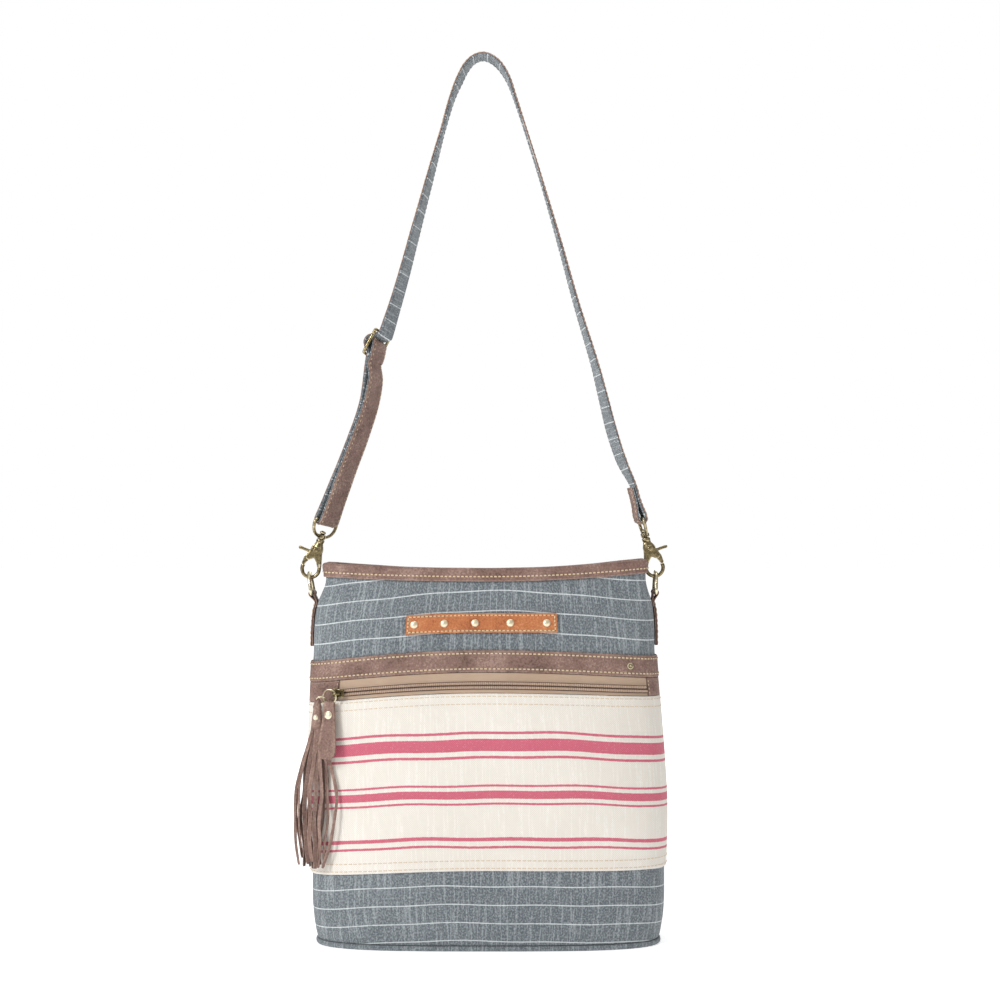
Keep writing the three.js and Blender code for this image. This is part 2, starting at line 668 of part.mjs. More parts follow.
function eye() {
  const bow = dLoop(eyeInnerWide, -eyeDrop, eyeWire, 3);
  const hub = pin(hubRadius, hubTall).rotateX(Math.PI / 2).translate(0, 0, -eyeDrop);
  const bore = pin(postRadius + turnClear, 3 * hubTall).rotateX(Math.PI / 2).translate(0, 0, -eyeDrop);
  return cut(joined(bow, hub), bore);
}

function hook() {
  const collarLow = collarTop - collarTall;
  const post = turned([
    [0, collarLow], [collarRadius, collarLow], [collarRadius, collarTop], [postRadius, collarTop],
    [postRadius, headLow], [headRadius, headLow], [headRadius, headLow + headTall * 0.6],
    [headRadius * 0.6, headLow + headTall], [0, headLow + headTall],
  ]);
  const shoulder = collarLow + collarTall / 4;
  const outer = holeRadius + clawThick;
  const plateEdge = rivetOut + rivetHeadRadius + plateMargin;
  const claw = slab([
    [collarRadius * 0.9, shoulder], [-collarRadius * 0.9, shoulder], [-rivetHeadRadius * 1.9, -rivetDrop],
    ...arc(holeOut, -holeDrop, outer, clawFrom, 360 + clawEnd, 11),
    ...arc(holeOut, -holeDrop, holeRadius, 360 + clawEnd, clawRoot, 10),
    [plateEdge, -rivetDrop - slotUp], [plateEdge, -rivetDrop],
  ], hookDeep);
  const [slotFrom, slotTo] = [-slotIn, -slotIn + 3 * outer];
  const [slotLow, slotTop] = [-holeDrop + holeRadius * 0.7, -rivetDrop + slotUp];
  const slot = slab(
    [[slotFrom, slotLow], [slotTo, slotLow], [slotTo, slotTop], [slotFrom, slotTop]],
    leverDeep + 2 * slotClear,
  );
  const rivet = pin(rivetRadius, hookDeep).translate(rivetOut, 0, -rivetDrop);
  const heads = [-1, 1].map((end) => pin(rivetHeadRadius, rivetHeadTall)
    .translate(rivetOut, end * (hookDeep + rivetHeadTall) / 2 - end * 0.1, -rivetDrop));
  return joined(cut(claw, slot), post, rivet, ...heads);
}

function lever() {
  const [x, z] = rivetAt;
  const tip = radians(clawEnd);
  const end = (radius) => [
    holeOut + radius * Math.cos(tip) - 1.4 * slotClear * Math.sin(tip),
    -holeDrop + radius * Math.sin(tip) + 1.4 * slotClear * Math.cos(tip),
  ];
  const plate = slab([
    ...arc(x, z, leverRound, 60, 280, 8),
    end(holeRadius), end(holeRadius + gateWide),
    [x + leverRound * 1.4, z - leverRound], [x + leverLong, z - 0.8 - thumbTall],
    [x + leverLong + 0.6, z - 0.8 - thumbTall / 2], [x + leverLong - 0.4, z - 0.8],
  ], leverDeep);
  return cut(plate, pin(rivetRadius + slotClear, 3 * leverDeep).translate(x, 0, z));
}

for (const end of ends) {
  const lean = radians(end.lean);
  const hand = Math.sign(end.side);
  const up = vec(-hand * Math.sin(lean), 0, Math.cos(lean));
  const outwards = vec(hand * Math.cos(lean), 0, Math.sin(lean));
  end.bar = vec(bagX + end.side * bagWidth, 0, end.above - strapDrop);
  end.width = square(widthAt(end.eyeTurn), up);
  place(`eye_${end.name}`, eye(), materials.brass, frameAt(end.bar, end.width.clone().cross(up), up));
  const group = frameAt(end.bar, outwards, up);
  place(`hook_${end.name}`, hook(), materials.brass, group);
  place(`lever_${end.name}`, lever(), materials.brass, group);

  // The ring through the hook, and the leather tab that holds the ring to the bag's side
  const hung = vec(holeOut, 0, -wireDrop).applyMatrix4(group.matrixWorld);
  const ringLean = radians(end.ringLean);
  const ringUp = vec(hand * Math.sin(ringLean), 0, Math.cos(ringLean));
  const bar = hung.clone().addScaledVector(ringUp, -ringRise);
  const ringGroup = frameAt(bar, vec(ringUp.z, 0, -ringUp.x), ringUp);
  place(`ring_${end.name}`, dLoop(ringInnerWide, ringRise, ringWire, 2.3), materials.brass, ringGroup);

  const share = hand < 0 ? 0 : 0.5;
  const barHeight = bar.z - groundZ;
  const fold = ringWire / 2 + ringClear + sideTabLeather;
  const heights = between(barHeight - sideTabFall, barHeight - 2 * fold, 6);
  const edge = (out) => heights.map((height) => {
    const p = bodyPoint(share, height, out);
    return [p.x, p.z];
  });
  const outside = edge(gap + 2 * sideTabLeather).toReversed();
  const top = hand < 0 ? arc(bar.x, bar.z, fold, -30, 210, 10) : arc(bar.x, bar.z, fold, 210, -30, 10);
  const wireRoom = dLoop(ringInnerWide - 2 * ringClear, ringRise, ringWire + 2 * ringClear, 2.3);
  place(
    `side_tab_${end.name}`,
    cut(slab([...edge(gap), ...top, ...outside], sideTabWide), wireRoom.applyMatrix4(ringGroup.matrixWorld)),
    materials.brownLeather,
  );
}

// The strap's slider
const [leftEnd, rightEnd] = ends;
const onRoute = (end, { out, down }) => vec(out * end.bar.x, 0, down * end.bar.z);
const slide = radians(slider.lean);
const slideUp = vec(Math.sin(slide), 0, Math.cos(slide));
const slideWidth = square(widthAt(slider.turn), slideUp);
const slideOut = slideWidth.clone().cross(slideUp).normalize().negate(); // to the left, away from the loop
const slideAt = onRoute(leftEnd, slider);
{
  const half = (frameInnerWide + frameWire) / 2;
  const corner = 1.6;
  const outline = [];
  for (const [y, z] of [[1, 1], [-1, 1], [-1, -1], [1, -1]]) {
    const [inY, inZ] = [y * (half - corner), z * (frameReach - corner)];
    const cornerPoints = [[inY, z * frameReach], [inY + y * corner * 0.7, inZ + z * corner * 0.7], [y * half, inZ]];
    outline.push(...(y * z > 0 ? cornerPoints.toReversed() : cornerPoints));
  }
  const frame = wireLoop(outline.map(([y, z]) => vec(0, y, z)), vec(1, 0, 0), frameWire);
  place("strap_slider", joined(frame, pin(frameWire / 2, 2 * half)), materials.brass,
    frameAt(slideAt, slideWidth.clone().cross(slideUp), slideUp));
}

// The strap: one run of two layers, from its sewn end round the right hook's eye, over the top, through the
// slider, round the left hook's eye and up to the slider's middle bar
const run = []; // points of its middle, each with the direction of its width
const step = (p, width) => run.push({ p, width });
const along = (from, up, out, rise, apart) => from.clone().addScaledVector(up, rise).addScaledVector(out, apart);

function wrap(centre, radius, first, second, turnBy, steps, width) {
  for (let i = 0; i <= steps; i += 1) {
    const angle = (turnBy * i) / steps;
    step(centre.clone().addScaledVector(first, radius * Math.cos(angle))
      .addScaledVector(second, radius * Math.sin(angle)), width);
  }
}

const eyeWrap = eyeWire / 2 + ringClear + strapThick / 2;
const sewn = (strapThick + layerGap) / 2;
{
  const { bar, width } = rightEnd;
  const up = square(onRoute(rightEnd, rightRoute[0]).sub(bar), width);
  const out = width.clone().cross(up);
  const easing = [[1, 1], [0.65, 1.06], [0.38, 1.4], [0.16, eyeWrap / sewn]]; // shares of the tail, and of its gap
  for (const [rise, apart] of easing) step(along(bar, up, out, rise * tailLength, -apart * sewn), width);
  wrap(bar, eyeWrap, out.clone().negate(), up.clone().negate(), Math.PI, 6, width);
  for (const [rise, apart] of easing.toReversed()) {
    step(along(bar, up, out, rise * tailLength, apart * sewn), width);
  }
}
for (const row of rightRoute.slice(1)) step(onRoute(rightEnd, row), widthAt(row.turn));
step(vec(0, 0, strapThick / 2), widthAt(0));
for (const row of leftRoute) step(onRoute(leftEnd, row), widthAt(row.turn));

const barWrap = frameWire / 2 + ringClear + strapThick / 2;
const overWrap = barWrap + strapThick + layerGap;
const crossing = Math.asin((barWrap + overWrap) / frameReach);
const [upperBar, lowerBar] = [1, -1].map((end) => along(slideAt, slideUp, slideOut, end * frameReach, 0));
const slideIn = slideOut.clone().negate();
const slideDown = slideUp.clone().negate();
wrap(upperBar, barWrap, slideIn, slideDown, crossing, 3, slideWidth);
{
  const first = slideOut.clone().multiplyScalar(Math.cos(crossing)).addScaledVector(slideUp, Math.sin(crossing));
  const second = slideOut.clone().multiplyScalar(Math.sin(crossing)).addScaledVector(slideUp, -Math.cos(crossing));
  wrap(slideAt, overWrap, first, second, 2 * crossing, 6, slideWidth);
  const third = slideIn.clone().multiplyScalar(Math.cos(crossing)).addScaledVector(slideUp, Math.sin(crossing));
  const fourth = slideIn.clone().multiplyScalar(Math.sin(crossing)).addScaledVector(slideUp, -Math.cos(crossing));
  wrap(lowerBar, barWrap, third, fourth, crossing, 3, slideWidth);
}

// The doubled stretch, down its outer layer and up its inner one
const doubled = doubleRoute.map((row, i) => {
  const share = (i + 1) / (doubleRoute.length + 1);
  const width = slideWidth.clone().lerp(leftEnd.width, share).normalize();
  const before = i ? onRoute(leftEnd, doubleRoute[i - 1]) : slideAt;
  const after = i < doubleRoute.length - 1 ? onRoute(leftEnd, doubleRoute[i + 1]) : leftEnd.bar;
  const up = square(before.clone().sub(after), width);
  return { p: onRoute(leftEnd, row), width, out: up.clone().cross(width).normalize(), apart: row.apart };
});
for (const { p, width, out, apart } of doubled) step(along(p, out, out, 0, apart / 2), width);
{
  const { bar, width } = leftEnd;
  const up = square(onRoute(leftEnd, doubleRoute.at(-1)).sub(bar), width);
  const out = up.clone().cross(width).normalize();
  wrap(bar, eyeWrap, out, up.clone().negate(), Math.PI, 6, width);
}
for (const { p, width, out, apart } of doubled.toReversed()) step(along(p, out, out, 0, -apart / 2), width);
const besideBar = barWrap + strapThick + 1.4 * layerGap;
step(along(lowerBar, slideUp, slideIn, -frameReach * 0.3, besideBar), slideWidth);
step(along(lowerBar, slideUp, slideIn, 0, besideBar), slideWidth);
step(along(lowerBar, slideUp, slideIn, frameReach * 0.5, (besideBar + barWrap) / 2 + layerGap), slideWidth);
wrap(slideAt, barWrap, slideIn, slideUp, Math.PI, 6, slideWidth);

function strapRings() {
  const curve = new THREE.CatmullRomCurve3(run.map(({ p }) => p), false, "centripetal");
  const samples = [];
  for (let i = 0; i < run.length - 1; i += 1) {
    const count = Math.max(1, Math.round(run[i].p.distanceTo(run[i + 1].p) / facet));
    for (let j = 0; j < count; j += 1) samples.push([i, j / count]);
  }
  samples.push([run.length - 2, 1]);
  return samples.map(([i, t]) => {
    const at = (i + t) / (run.length - 1);
    const p = curve.getPoint(at);
    const forwards = curve.getTangent(at);
    const width = square(run[i].width.clone().lerp(run[i + 1].width, t), forwards);
    return { p, width, out: width.clone().cross(forwards).normalize() };
  });
}
const strapFrames = strapRings();

function layer(near, far) {
  return loft(strapFrames.map(({ p, width, out }) => [
    [-1, near], [1, near], [1, far], [-1, far],
  ].map(([side, lift]) => p.clone().addScaledVector(width, (side * strapWide) / 2).addScaledVector(out, lift))), false);
}
place("strap_leather", layer(layerGap / 2, layerGap / 2 + strapLayer), materials.brownLeather);
place("strap_canvas", layer(-layerGap / 2, -layerGap / 2 - strapLayer), materials.canvas);

// The zip's slider on its coil, with its ring, leather pull and tassel hanging straight down
const sliderShare = shareAtX(zipLeft + sliderFromEnd, zipHeight);
const sliderHeight = coilAt(sliderShare);
const sliderSeat = coilBack + coilHigh + gap;
const outLevel = bodyPoint(sliderShare, sliderHeight, 1).sub(bodyPoint(sliderShare, sliderHeight, 0)).normalize();
const acrossLevel = vec(0, 0, 1).cross(outLevel);
// Its X runs along the front, its Z is up and its -Y points out of the front.
const pull = frameAt(gridPoint(sliderShare, sliderHeight, sliderSeat), acrossLevel, vec(0, 0, 1));

const ringOut = sliderHigh + archHigh - archWire / 2 - ringClear - pullRingWire / 2 - ringSlack;
const ringX = -pullRingRadius - ringSlack;
const ringZ = -pullRingRadius * 0.45;
{
  const chamfer = sliderLong * 0.18;
  const [x, z] = [sliderLong / 2, sliderTall / 2];
  const block = slab([
    [-x, -z * 0.6], [-x + chamfer, -z], [x - chamfer, -z * 0.8], [x, -z * 0.5],
    [x, z * 0.5], [x - chamfer, z * 0.8], [-x + chamfer, z], [-x, z * 0.6],
  ], sliderHigh).translate(0, -sliderHigh / 2, 0);
  const legs = archSpan / 2 - archWire / 2;
  const arch = slab([
    [-archSpan / 2, sliderHigh * 0.8], ...arc(0, sliderHigh + archHigh - archSpan / 2, archSpan / 2, 180, 0, 8),
    [archSpan / 2, sliderHigh * 0.8], [legs - archWire / 2, sliderHigh * 0.8],
    ...arc(0, sliderHigh + archHigh - archSpan / 2, archSpan / 2 - archWire, 0, 180, 8),
    [-legs + archWire / 2, sliderHigh * 0.8],
  ], 1.5 * archWire).rotateX(Math.PI / 2).translate(-1.2, 0, 0);
  place("zip_slider", joined(block, arch), materials.brass, pull);
}

// Round loops of this group lie in its X and Z plane, facing out of the front.
const faceOut = (geometry) => geometry.rotateX(Math.PI / 2);
const pullRing = (wire) => faceOut(roundLoop(pullRingRadius, wire)).translate(ringX, -ringOut, ringZ);
place("pull_ring", pullRing(pullRingWire), materials.brass, pull);

const tabX = ringX;
const tabTopZ = ringZ - pullRingRadius;
{
  const [neck, wide] = [pullNeck / 2, pullWide / 2];
  const low = tabTopZ - pullLength + wide;
  const leaf = slab([
    [-neck, tabTopZ], [-wide, low + wide * 0.6], [-wide, low], ...arc(0, low, wide, 195, 345, 8),
    [wide, low], [wide, low + wide * 0.6], [neck, tabTopZ],
  ], 2 * pullLeather);
  const fold = pin(pullRingWire / 2 + ringClear + pullLeather, pullNeck).rotateZ(Math.PI / 2).translate(0, 0, tabTopZ);
  const tilted = (geometry) => geometry.translate(0, 0, -tabTopZ).rotateX(-radians(pullTilt))
    .translate(tabX, -ringOut, tabTopZ);
  place("pull_tab", cut(tilted(joined(leaf, fold)), pullRing(pullRingWire + 2 * ringClear)),
    materials.brownLeather, pull);
  const cap = dome(capWide, capHigh).rotateX(Math.PI / 2);
  cap.translate(0, -pullLeather - studGap, tabTopZ - pullNeck * 1.1);
  place("pull_rivet", tilted(cap), materials.brass, pull);
}

{
  const at = radians(tasselRingAt);
  const outwards = vec(Math.cos(at), 0, Math.sin(at));
  const apart = (pullRingWire + tasselRingWire) / 2 + ringClear;
  const reach = pullRingRadius - apart + tasselRingRadius;
  const centre = vec(ringX, -ringOut, ringZ).addScaledVector(outwards, reach);
  const sideways = vec(-outwards.z, 0, outwards.x);
  const turn = radians(tasselRingTurn);
  const second = vec(0, Math.cos(turn), 0).addScaledVector(sideways, Math.sin(turn));
  const loop = (wire) => roundLoop(tasselRingRadius, wire).applyMatrix4(
    new THREE.Matrix4().makeBasis(outwards, second, outwards.clone().cross(second)).setPosition(centre),
  );
  place("tassel_ring", loop(tasselRingWire), materials.brass, pull);

  const hang = centre.clone().addScaledVector(outwards, tasselRingRadius);
  const oval = (z, wide, thick) => Array.from({ length: 10 }, (_, i) => {
    const angle = (2 * Math.PI * i) / 10;
    return vec((wide / 2) * Math.cos(angle), (thick / 2) * Math.sin(angle), z);
  });
  const cover = tasselRingWire / 2 + ringClear + pullLeather;
  const head = loft([
    oval(cover, tasselNeck * 0.7, tasselNeck * 0.7), oval(0, tasselNeck, tasselNeck),
    oval(-tasselHeadTall * 0.25, tasselHeadWide * 0.72, tasselHeadThick),
    oval(-tasselHeadTall * 0.7, tasselHeadWide * 0.92, tasselHeadThick),
    oval(-tasselHeadTall, tasselHeadWide, tasselHeadThick * 0.92),
  ], false);
  const locks = strands.map(({ middle, end, fall, front }) => {
    const start = THREE.MathUtils.clamp(middle * tasselFall * 0.3, -tasselHeadWide * 0.36, tasselHeadWide * 0.36);
    const deep = (front ? -1 : 1) * strandThick * 0.45;
    const path = new THREE.CatmullRomCurve3([
      vec(start, deep + strandThick * 0.4, -tasselHeadTall * 0.8),
      vec(middle * tasselFall * 0.75, deep + strandBack, -tasselHeadTall - tasselFall * 0.36),
      vec(middle * tasselFall, deep - strandFore, -tasselHeadTall - tasselFall * 0.66),
      vec(end * tasselFall, deep - strandFore, -tasselHeadTall - tasselFall * fall),
    ]);
    return loft(path.getSpacedPoints(5).map((p) => [[-1, -1], [1, -1], [1, 1], [-1, 1]].map(([x, y]) =>
      vec(p.x + (x * strandWide) / 2, p.y + (y * strandThick) / 2, p.z))), false);
  });
  place("tassel", cut(joined(head, ...locks).translate(hang.x, hang.y, hang.z), loop(tasselRingWire + 2 * ringClear)),
    materials.brownLeather, pull);
  const cap = dome(capWide * 0.7, capHigh, 10).rotateX(Math.PI / 2);
  cap.translate(hang.x, hang.y - tasselHeadThick / 2 - studGap, hang.z - tasselHeadTall * 0.6);
  place("tassel_rivet", cap, materials.brass, pull);
}

export default bag;
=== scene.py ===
"""The looks of a pinstriped canvas shoulder bag with leather trim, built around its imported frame.

Lengths in the helpers are millimetres, as on a maker's bench; meshes are written in metres.
The bag's front looks towards -Y, the strap hangs from the origin and the base stands at the lowest point.
"""
import math

import bpy
import numpy as np
from mathutils import Matrix, Vector


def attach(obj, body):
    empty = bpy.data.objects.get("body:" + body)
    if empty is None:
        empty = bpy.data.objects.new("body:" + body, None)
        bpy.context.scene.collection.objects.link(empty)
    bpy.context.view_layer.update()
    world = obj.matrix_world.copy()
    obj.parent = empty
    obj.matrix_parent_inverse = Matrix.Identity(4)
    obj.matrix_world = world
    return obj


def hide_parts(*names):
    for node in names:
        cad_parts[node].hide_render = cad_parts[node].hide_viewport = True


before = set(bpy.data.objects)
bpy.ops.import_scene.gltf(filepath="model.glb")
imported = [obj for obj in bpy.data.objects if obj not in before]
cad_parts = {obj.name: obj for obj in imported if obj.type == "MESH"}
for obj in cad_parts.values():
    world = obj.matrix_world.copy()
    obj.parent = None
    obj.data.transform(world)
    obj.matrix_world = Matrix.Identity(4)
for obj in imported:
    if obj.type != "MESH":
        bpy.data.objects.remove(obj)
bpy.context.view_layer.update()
mm = 0.001


# Sizes, as in the part

bag_width, bag_height, bag_depth = 300, 320, 100
bag_x = 4
strap_drop = 423.6
ground = -(strap_drop + bag_height)
canvas_wall = 2
gap = 0.4
base_thick = 4.2
base_proud = 1.4
binding_thick, binding_gap = 1.3, 0.8
cream_thick, band_thick, patch_thick, tape_thick = 1.4, 1.6, 1.1, 0.8
patch_left, patch_right = 29, 18
zip_left = patch_left - bag_width / 2
zip_right = bag_width / 2 - patch_right
coil_wide, coil_high, coil_drop = 4.6, 1.5, 2
tab_length, tab_tall, tab_thick = 124, 15.8, 2
stud_wide, stud_high = 6.6, 1.9
stud_places = (-0.446, -0.247, -0.043, 0.19, 0.431)
band_rivet_in, band_rivet_wide = 32, 4.4
side_tab_wide, side_tab_fall, side_tab_leather = 18, 44, 1.2
ring_wire, ring_inner, ring_rise, ring_clear = 3, 20, 17.5, 0.3
ring_seat = 0.6
eye_wire, eye_inner, eye_drop = 2.8, 26.8, 14
hole_drop, hole_out, hole_radius = 42.6, 1, 5.6
strap_wide, strap_layer, layer_gap = 25, 1.2, 0.3
strap_thick = 2 * strap_layer + layer_gap
tail_length = 28
frame_wire, frame_inner, frame_reach = 2.6, 26.6, 11

# The pinstripes: heights on the front, and how many stripes lie below each.
stripe_pitch, strap_stripe_pitch = 15.7, 13.7
stripe_heights = (-20, 9, 55, 243, 262, 311, 340)
stripe_counts = (-1.9, 0, 3, 15, 16, 19, 20.8)

# Cross-sections of the body: share of the height; half width, front and back as shares of the width and
# depth; how boxy; how far the side's middle folds in; sideways lean.
section_columns = ("up", "wide", "front", "back", "square", "dent", "lean")
sections = np.array([
    (0.0, 0.478, 0.45, 0.43, 3.3, 0.0, 0.005),
    (0.035, 0.484, 0.47, 0.445, 3.2, 0.0, 0.005),
    (0.1, 0.492, 0.495, 0.46, 3.1, 0.0, 0.005),
    (0.2, 0.4935, 0.515, 0.475, 3.0, 0.0, 0.005),
    (0.36, 0.4985, 0.525, 0.475, 2.9, 0.0, 0.003),
    (0.5, 0.495, 0.52, 0.465, 2.9, 0.0, -0.0015),
    (0.63, 0.488, 0.495, 0.445, 2.9, 0.0, -0.005),
    (0.76, 0.479, 0.445, 0.405, 2.9, 0.0, -0.007),
    (0.82, 0.478, 0.415, 0.38, 2.9, 0.0, -0.0065),
    (0.88, 0.4735, 0.38, 0.35, 3.0, 0.006, -0.0055),
    (0.92, 0.466, 0.35, 0.325, 3.2, 0.035, -0.0035),
    (0.955, 0.466, 0.325, 0.3, 3.3, 0.085, -0.0035),
    (1.01, 0.468, 0.3, 0.275, 3.3, 0.09, -0.004),
])
side_dent_wide = 13

# Edges that cross the front: height at the middle, the left and the right, as shares of the bag's height.
edges = {
    "rim_top": (0.981, 0.993, 1.003),
    "rim_low": (0.946, 0.956, 0.967),
    "band_top": (0.772, 0.735, 0.75),
    "band_low": (0.716, 0.681, 0.694),
    "cream_top": (0.663, 0.628, 0.646),
    "cream_low": (0.211, 0.184, 0.203),
    "stud_tab": (0.841, 0.812, 0.841),
}
behind = {"rim_top": 0.972, "rim_low": 0.937}

# Soft dents: share of the width from the middle, share of the height, reach across and up, depth inwards,
# and the side of the bag.
dents = [
    (-0.41, 0.935, 0.05, 0.03, 3.2, -1),
    (0.4, 0.925, 0.06, 0.035, 1.8, -1),
    (-0.1, 0.87, 0.2, 0.06, 1.2, -1),
    (0.18, 0.12, 0.13, 0.05, 1.1, -1),
    (-0.22, 0.1, 0.1, 0.05, -1.3, -1),
    (-0.15, 0.8, 0.14, 0.09, 2.2, 1),
    (0.22, 0.5, 0.12, 0.16, 1.8, 1),
]

# Finer creases that the cloth keeps: along the front from its middle, height, half length, half width,
# angle from level, depth inwards; all in millimetres and degrees.
front_creases = [
    (-112, 24, 30, 4.5, 28, 0.5), (-70, 17, 34, 5, 8, 0.45), (118, 26, 26, 5, -30, 0.5),
    (66, 14, 40, 5, -4, 0.35), (-130, 288, 24, 5, 34, 0.8), (-96, 296, 30, 4, -14, 0.6),
    (120, 292, 26, 5, -38, 0.7), (60, 286, 34, 6, 6, 0.35), (-20, 262, 60, 6, 3, 0.3),
    (-118, 120, 46, 9, 74, 0.5), (126, 150, 60, 9, -82, 0.45), (20, 96, 80, 11, 5, 0.35),
    (-40, 176, 70, 12, -7, 0.35),
]
back_creases = [
    (-110, 30, 36, 6, 34, 0.7), (104, 26, 34, 6, -30, 0.7), (-60, 250, 60, 8, -24, 0.7),
    (48, 236, 66, 9, 18, 0.6), (8, 160, 84, 12, 4, 0.6), (-118, 190, 70, 10, 80, 0.6),
    (120, 130, 70, 10, -82, 0.6), (0, 284, 70, 6, 2, 0.4), (84, 84, 60, 10, 30, 0.5),
]


# The body's surface

def run_along(points):
    """The distance along a row of points, from 0 at the first."""
    steps = np.linalg.norm(np.diff(points, axis=0), axis=1)
    return np.concatenate([[0], np.cumsum(steps)])


def rows_at(up):
    """The sections' row at each share of the height, on a smooth curve through the rows."""
    up = np.asarray(up, float)
    keys = sections[:, 0]
    last = len(keys) - 1
    i = np.clip(np.searchsorted(keys, up) - 1, 0, last - 1)
    a, b, c, d = (sections[np.clip(i + k, 0, last)] for k in (-1, 0, 1, 2))
    span = (c[..., 0] - b[..., 0])[..., None]
    t = np.clip((up - b[..., 0]) / span[..., 0], 0, 1)[..., None]
    leave = span * (c - a) / (c[..., :1] - a[..., :1])
    arrive = span * (d - b) / (d[..., :1] - b[..., :1])
    return ((1 + 2 * t) * (1 - t) ** 2 * b + t * (1 - t) ** 2 * leave
            + t * t * (3 - 2 * t) * c + t * t * (t - 1) * arrive)


def crease_depth(x, height, creases):
    """How far the fine creases press the cloth in."""
    deep = np.zeros(np.broadcast(x, height).shape)
    for cx, cz, long, wide, angle, depth in creases:
        c, s = math.cos(math.radians(angle)), math.sin(math.radians(angle))
        along = (x - cx) * c + (height - cz) * s
        across = (height - cz) * c - (x - cx) * s
        bend = across - 0.004 * along ** 2 / max(wide, 1)
        valley = np.exp(-(bend / wide) ** 2) - 0.6 * np.exp(-((bend - 1.7 * wide) / wide) ** 2)
        deep += depth * valley * np.exp(-(along / long) ** 2)
    return deep


class Wall:
    """The body's outer surface as a fine table: places and outward directions by share and height."""

    shares = np.linspace(0, 1, 721)
    heights = np.linspace(-6, bag_height * 1.02, 262)

    def __init__(self):
        points = np.zeros((len(self.heights), len(self.shares), 2))
        normals = np.zeros_like(points)
        angle = np.linspace(0, math.pi, 721)
        c, s = np.cos(angle), np.sin(angle)
        half = len(self.shares) // 2
        for k, height in enumerate(self.heights):
            row = dict(zip(section_columns, rows_at(height / bag_height)))
            for side in (-1, 1):
                deep = (row["front"] if side < 0 else row["back"]) * bag_depth
                y = side * deep * np.abs(s) ** (2 / row["square"])
                folded = row["dent"] * bag_depth * np.exp(-(y / side_dent_wide) ** 2)
                wide = row["wide"] * bag_width * np.abs(c) ** (2 / row["square"])
                x = -np.sign(c) * (wide - folded * c * c)
                along = run_along(np.stack([x, y], axis=1))
                places = np.linspace(0, along[-1], half + 1)
                px, py = np.interp(places, along, x), np.interp(places, along, y)
                tx, ty = np.gradient(px), np.gradient(py)
                size = np.hypot(tx, ty)
                nx, ny = -side * ty / size, side * tx / size
                nx[0], ny[0], nx[-1], ny[-1] = -1, 0, 1, 0
                push = np.zeros_like(px)
                for dx, up, across, tall, depth, dent_side in dents:
                    if dent_side != side:
                        continue
                    reach = ((px / bag_width - dx) / across) ** 2 + ((height / bag_height - up) / tall) ** 2
                    push -= depth * np.exp(-reach) * np.minimum(1, np.abs(py) / 10)
                creases = front_creases if side < 0 else back_creases
                push -= crease_depth(px, height, creases) * np.minimum(1, np.abs(py) / 14)
                seam = np.minimum(places, places[-1] - places)
                push -= 0.9 * np.exp(-(seam / 1.6) ** 2) + 0.35 * np.exp(-(seam / 7) ** 2)
                push -= 1.1 * np.exp(-max(height - base_thick, 0) / 3.2)
                px = px + row["lean"] * bag_width + bag_x + nx * push
                py = py + ny * push
                columns = slice(0, half + 1) if side < 0 else slice(half, None)
                order = slice(None) if side < 0 else slice(None, None, -1)
                points[k, columns, 0], points[k, columns, 1] = px[order], py[order]
                normals[k, columns, 0], normals[k, columns, 1] = nx[order], ny[order]
        self.points, self.normals = points, normals

    def at(self, share, height, out=0.0):
        """Points of the surface, each pushed out by a distance; share, height and out may be arrays."""
        share, height, out = np.broadcast_arrays(*(np.asarray(v, float) for v in (share, height, out)))
        i = (share % 1.0) * (len(self.shares) - 1)
        i = np.where((share >= 1) & (share % 1.0 == 0), len(self.shares) - 1.0, i)
        first, second = self.heights[:2]
        k = np.clip((height - first) / (second - first), 0, len(self.heights) - 1.001)
        i0 = np.minimum(i.astype(int), len(self.shares) - 2)
        k0 = k.astype(int)
        right, above = (i - i0)[..., None], (k - k0)[..., None]

        def mix(table):
            low = table[k0, i0] * (1 - right) + table[k0, i0 + 1] * right
            high = table[k0 + 1, i0] * (1 - right) + table[k0 + 1, i0 + 1] * right
            return low * (1 - above) + high * above

        flat = mix(self.points) + mix(self.normals) * out[..., None]
        return np.concatenate([flat, (ground + height)[..., None]], axis=-1)

    def out_at(self, share, height):
        """The outward direction, square to the surface."""
        step = 0.5
        along = self.at(share + 0.0015, height) - self.at(share - 0.0015, height)
        up = self.at(share, height + step) - self.at(share, height - step)
        normal = np.cross(along, up)
        return normal / np.linalg.norm(normal, axis=-1, keepdims=True)


wall = Wall()
middle_x = wall.at(wall.shares, bag_height / 2)[:, 0] - bag_x


def x_share(share):
    """Where a share of the way round lies across the bag, from -1 at the left to 1 at the right."""
    return np.clip(np.interp(share, wall.shares, middle_x) / (bag_width / 2), -1, 1)


def edge_height(name, share):
    share = np.asarray(share, float)
    middle, left, right = edges[name]
    base = np.where(share > 0.5, behind.get(name, middle), middle)
    u = x_share(share)
    return bag_height * (base + (np.where(u < 0, left, right) - base) * u * u)


def share_at(x, height):
    """The share of the way round the front at a distance from the bag's middle."""
    front = wall.shares[wall.shares <= 0.5]
    return float(np.interp(x, wall.at(front, height)[:, 0] - bag_x, front))


def cloth_up(share, height):
    """The height on the flat cloth, in millimetres of stripes, so that stripes droop towards the sides."""
    u = x_share(share)
    droop = u * u * np.where(u < 0, 8 + 7 * height / 318, 6 + 3 * height / 318)
    waves = 0.7 * np.sin(u * 5.2 + height / 70) + 0.35 * np.sin(u * 13 + height / 31)
    return np.interp(height + droop + waves, stripe_heights, stripe_counts) * stripe_pitch


# Meshes

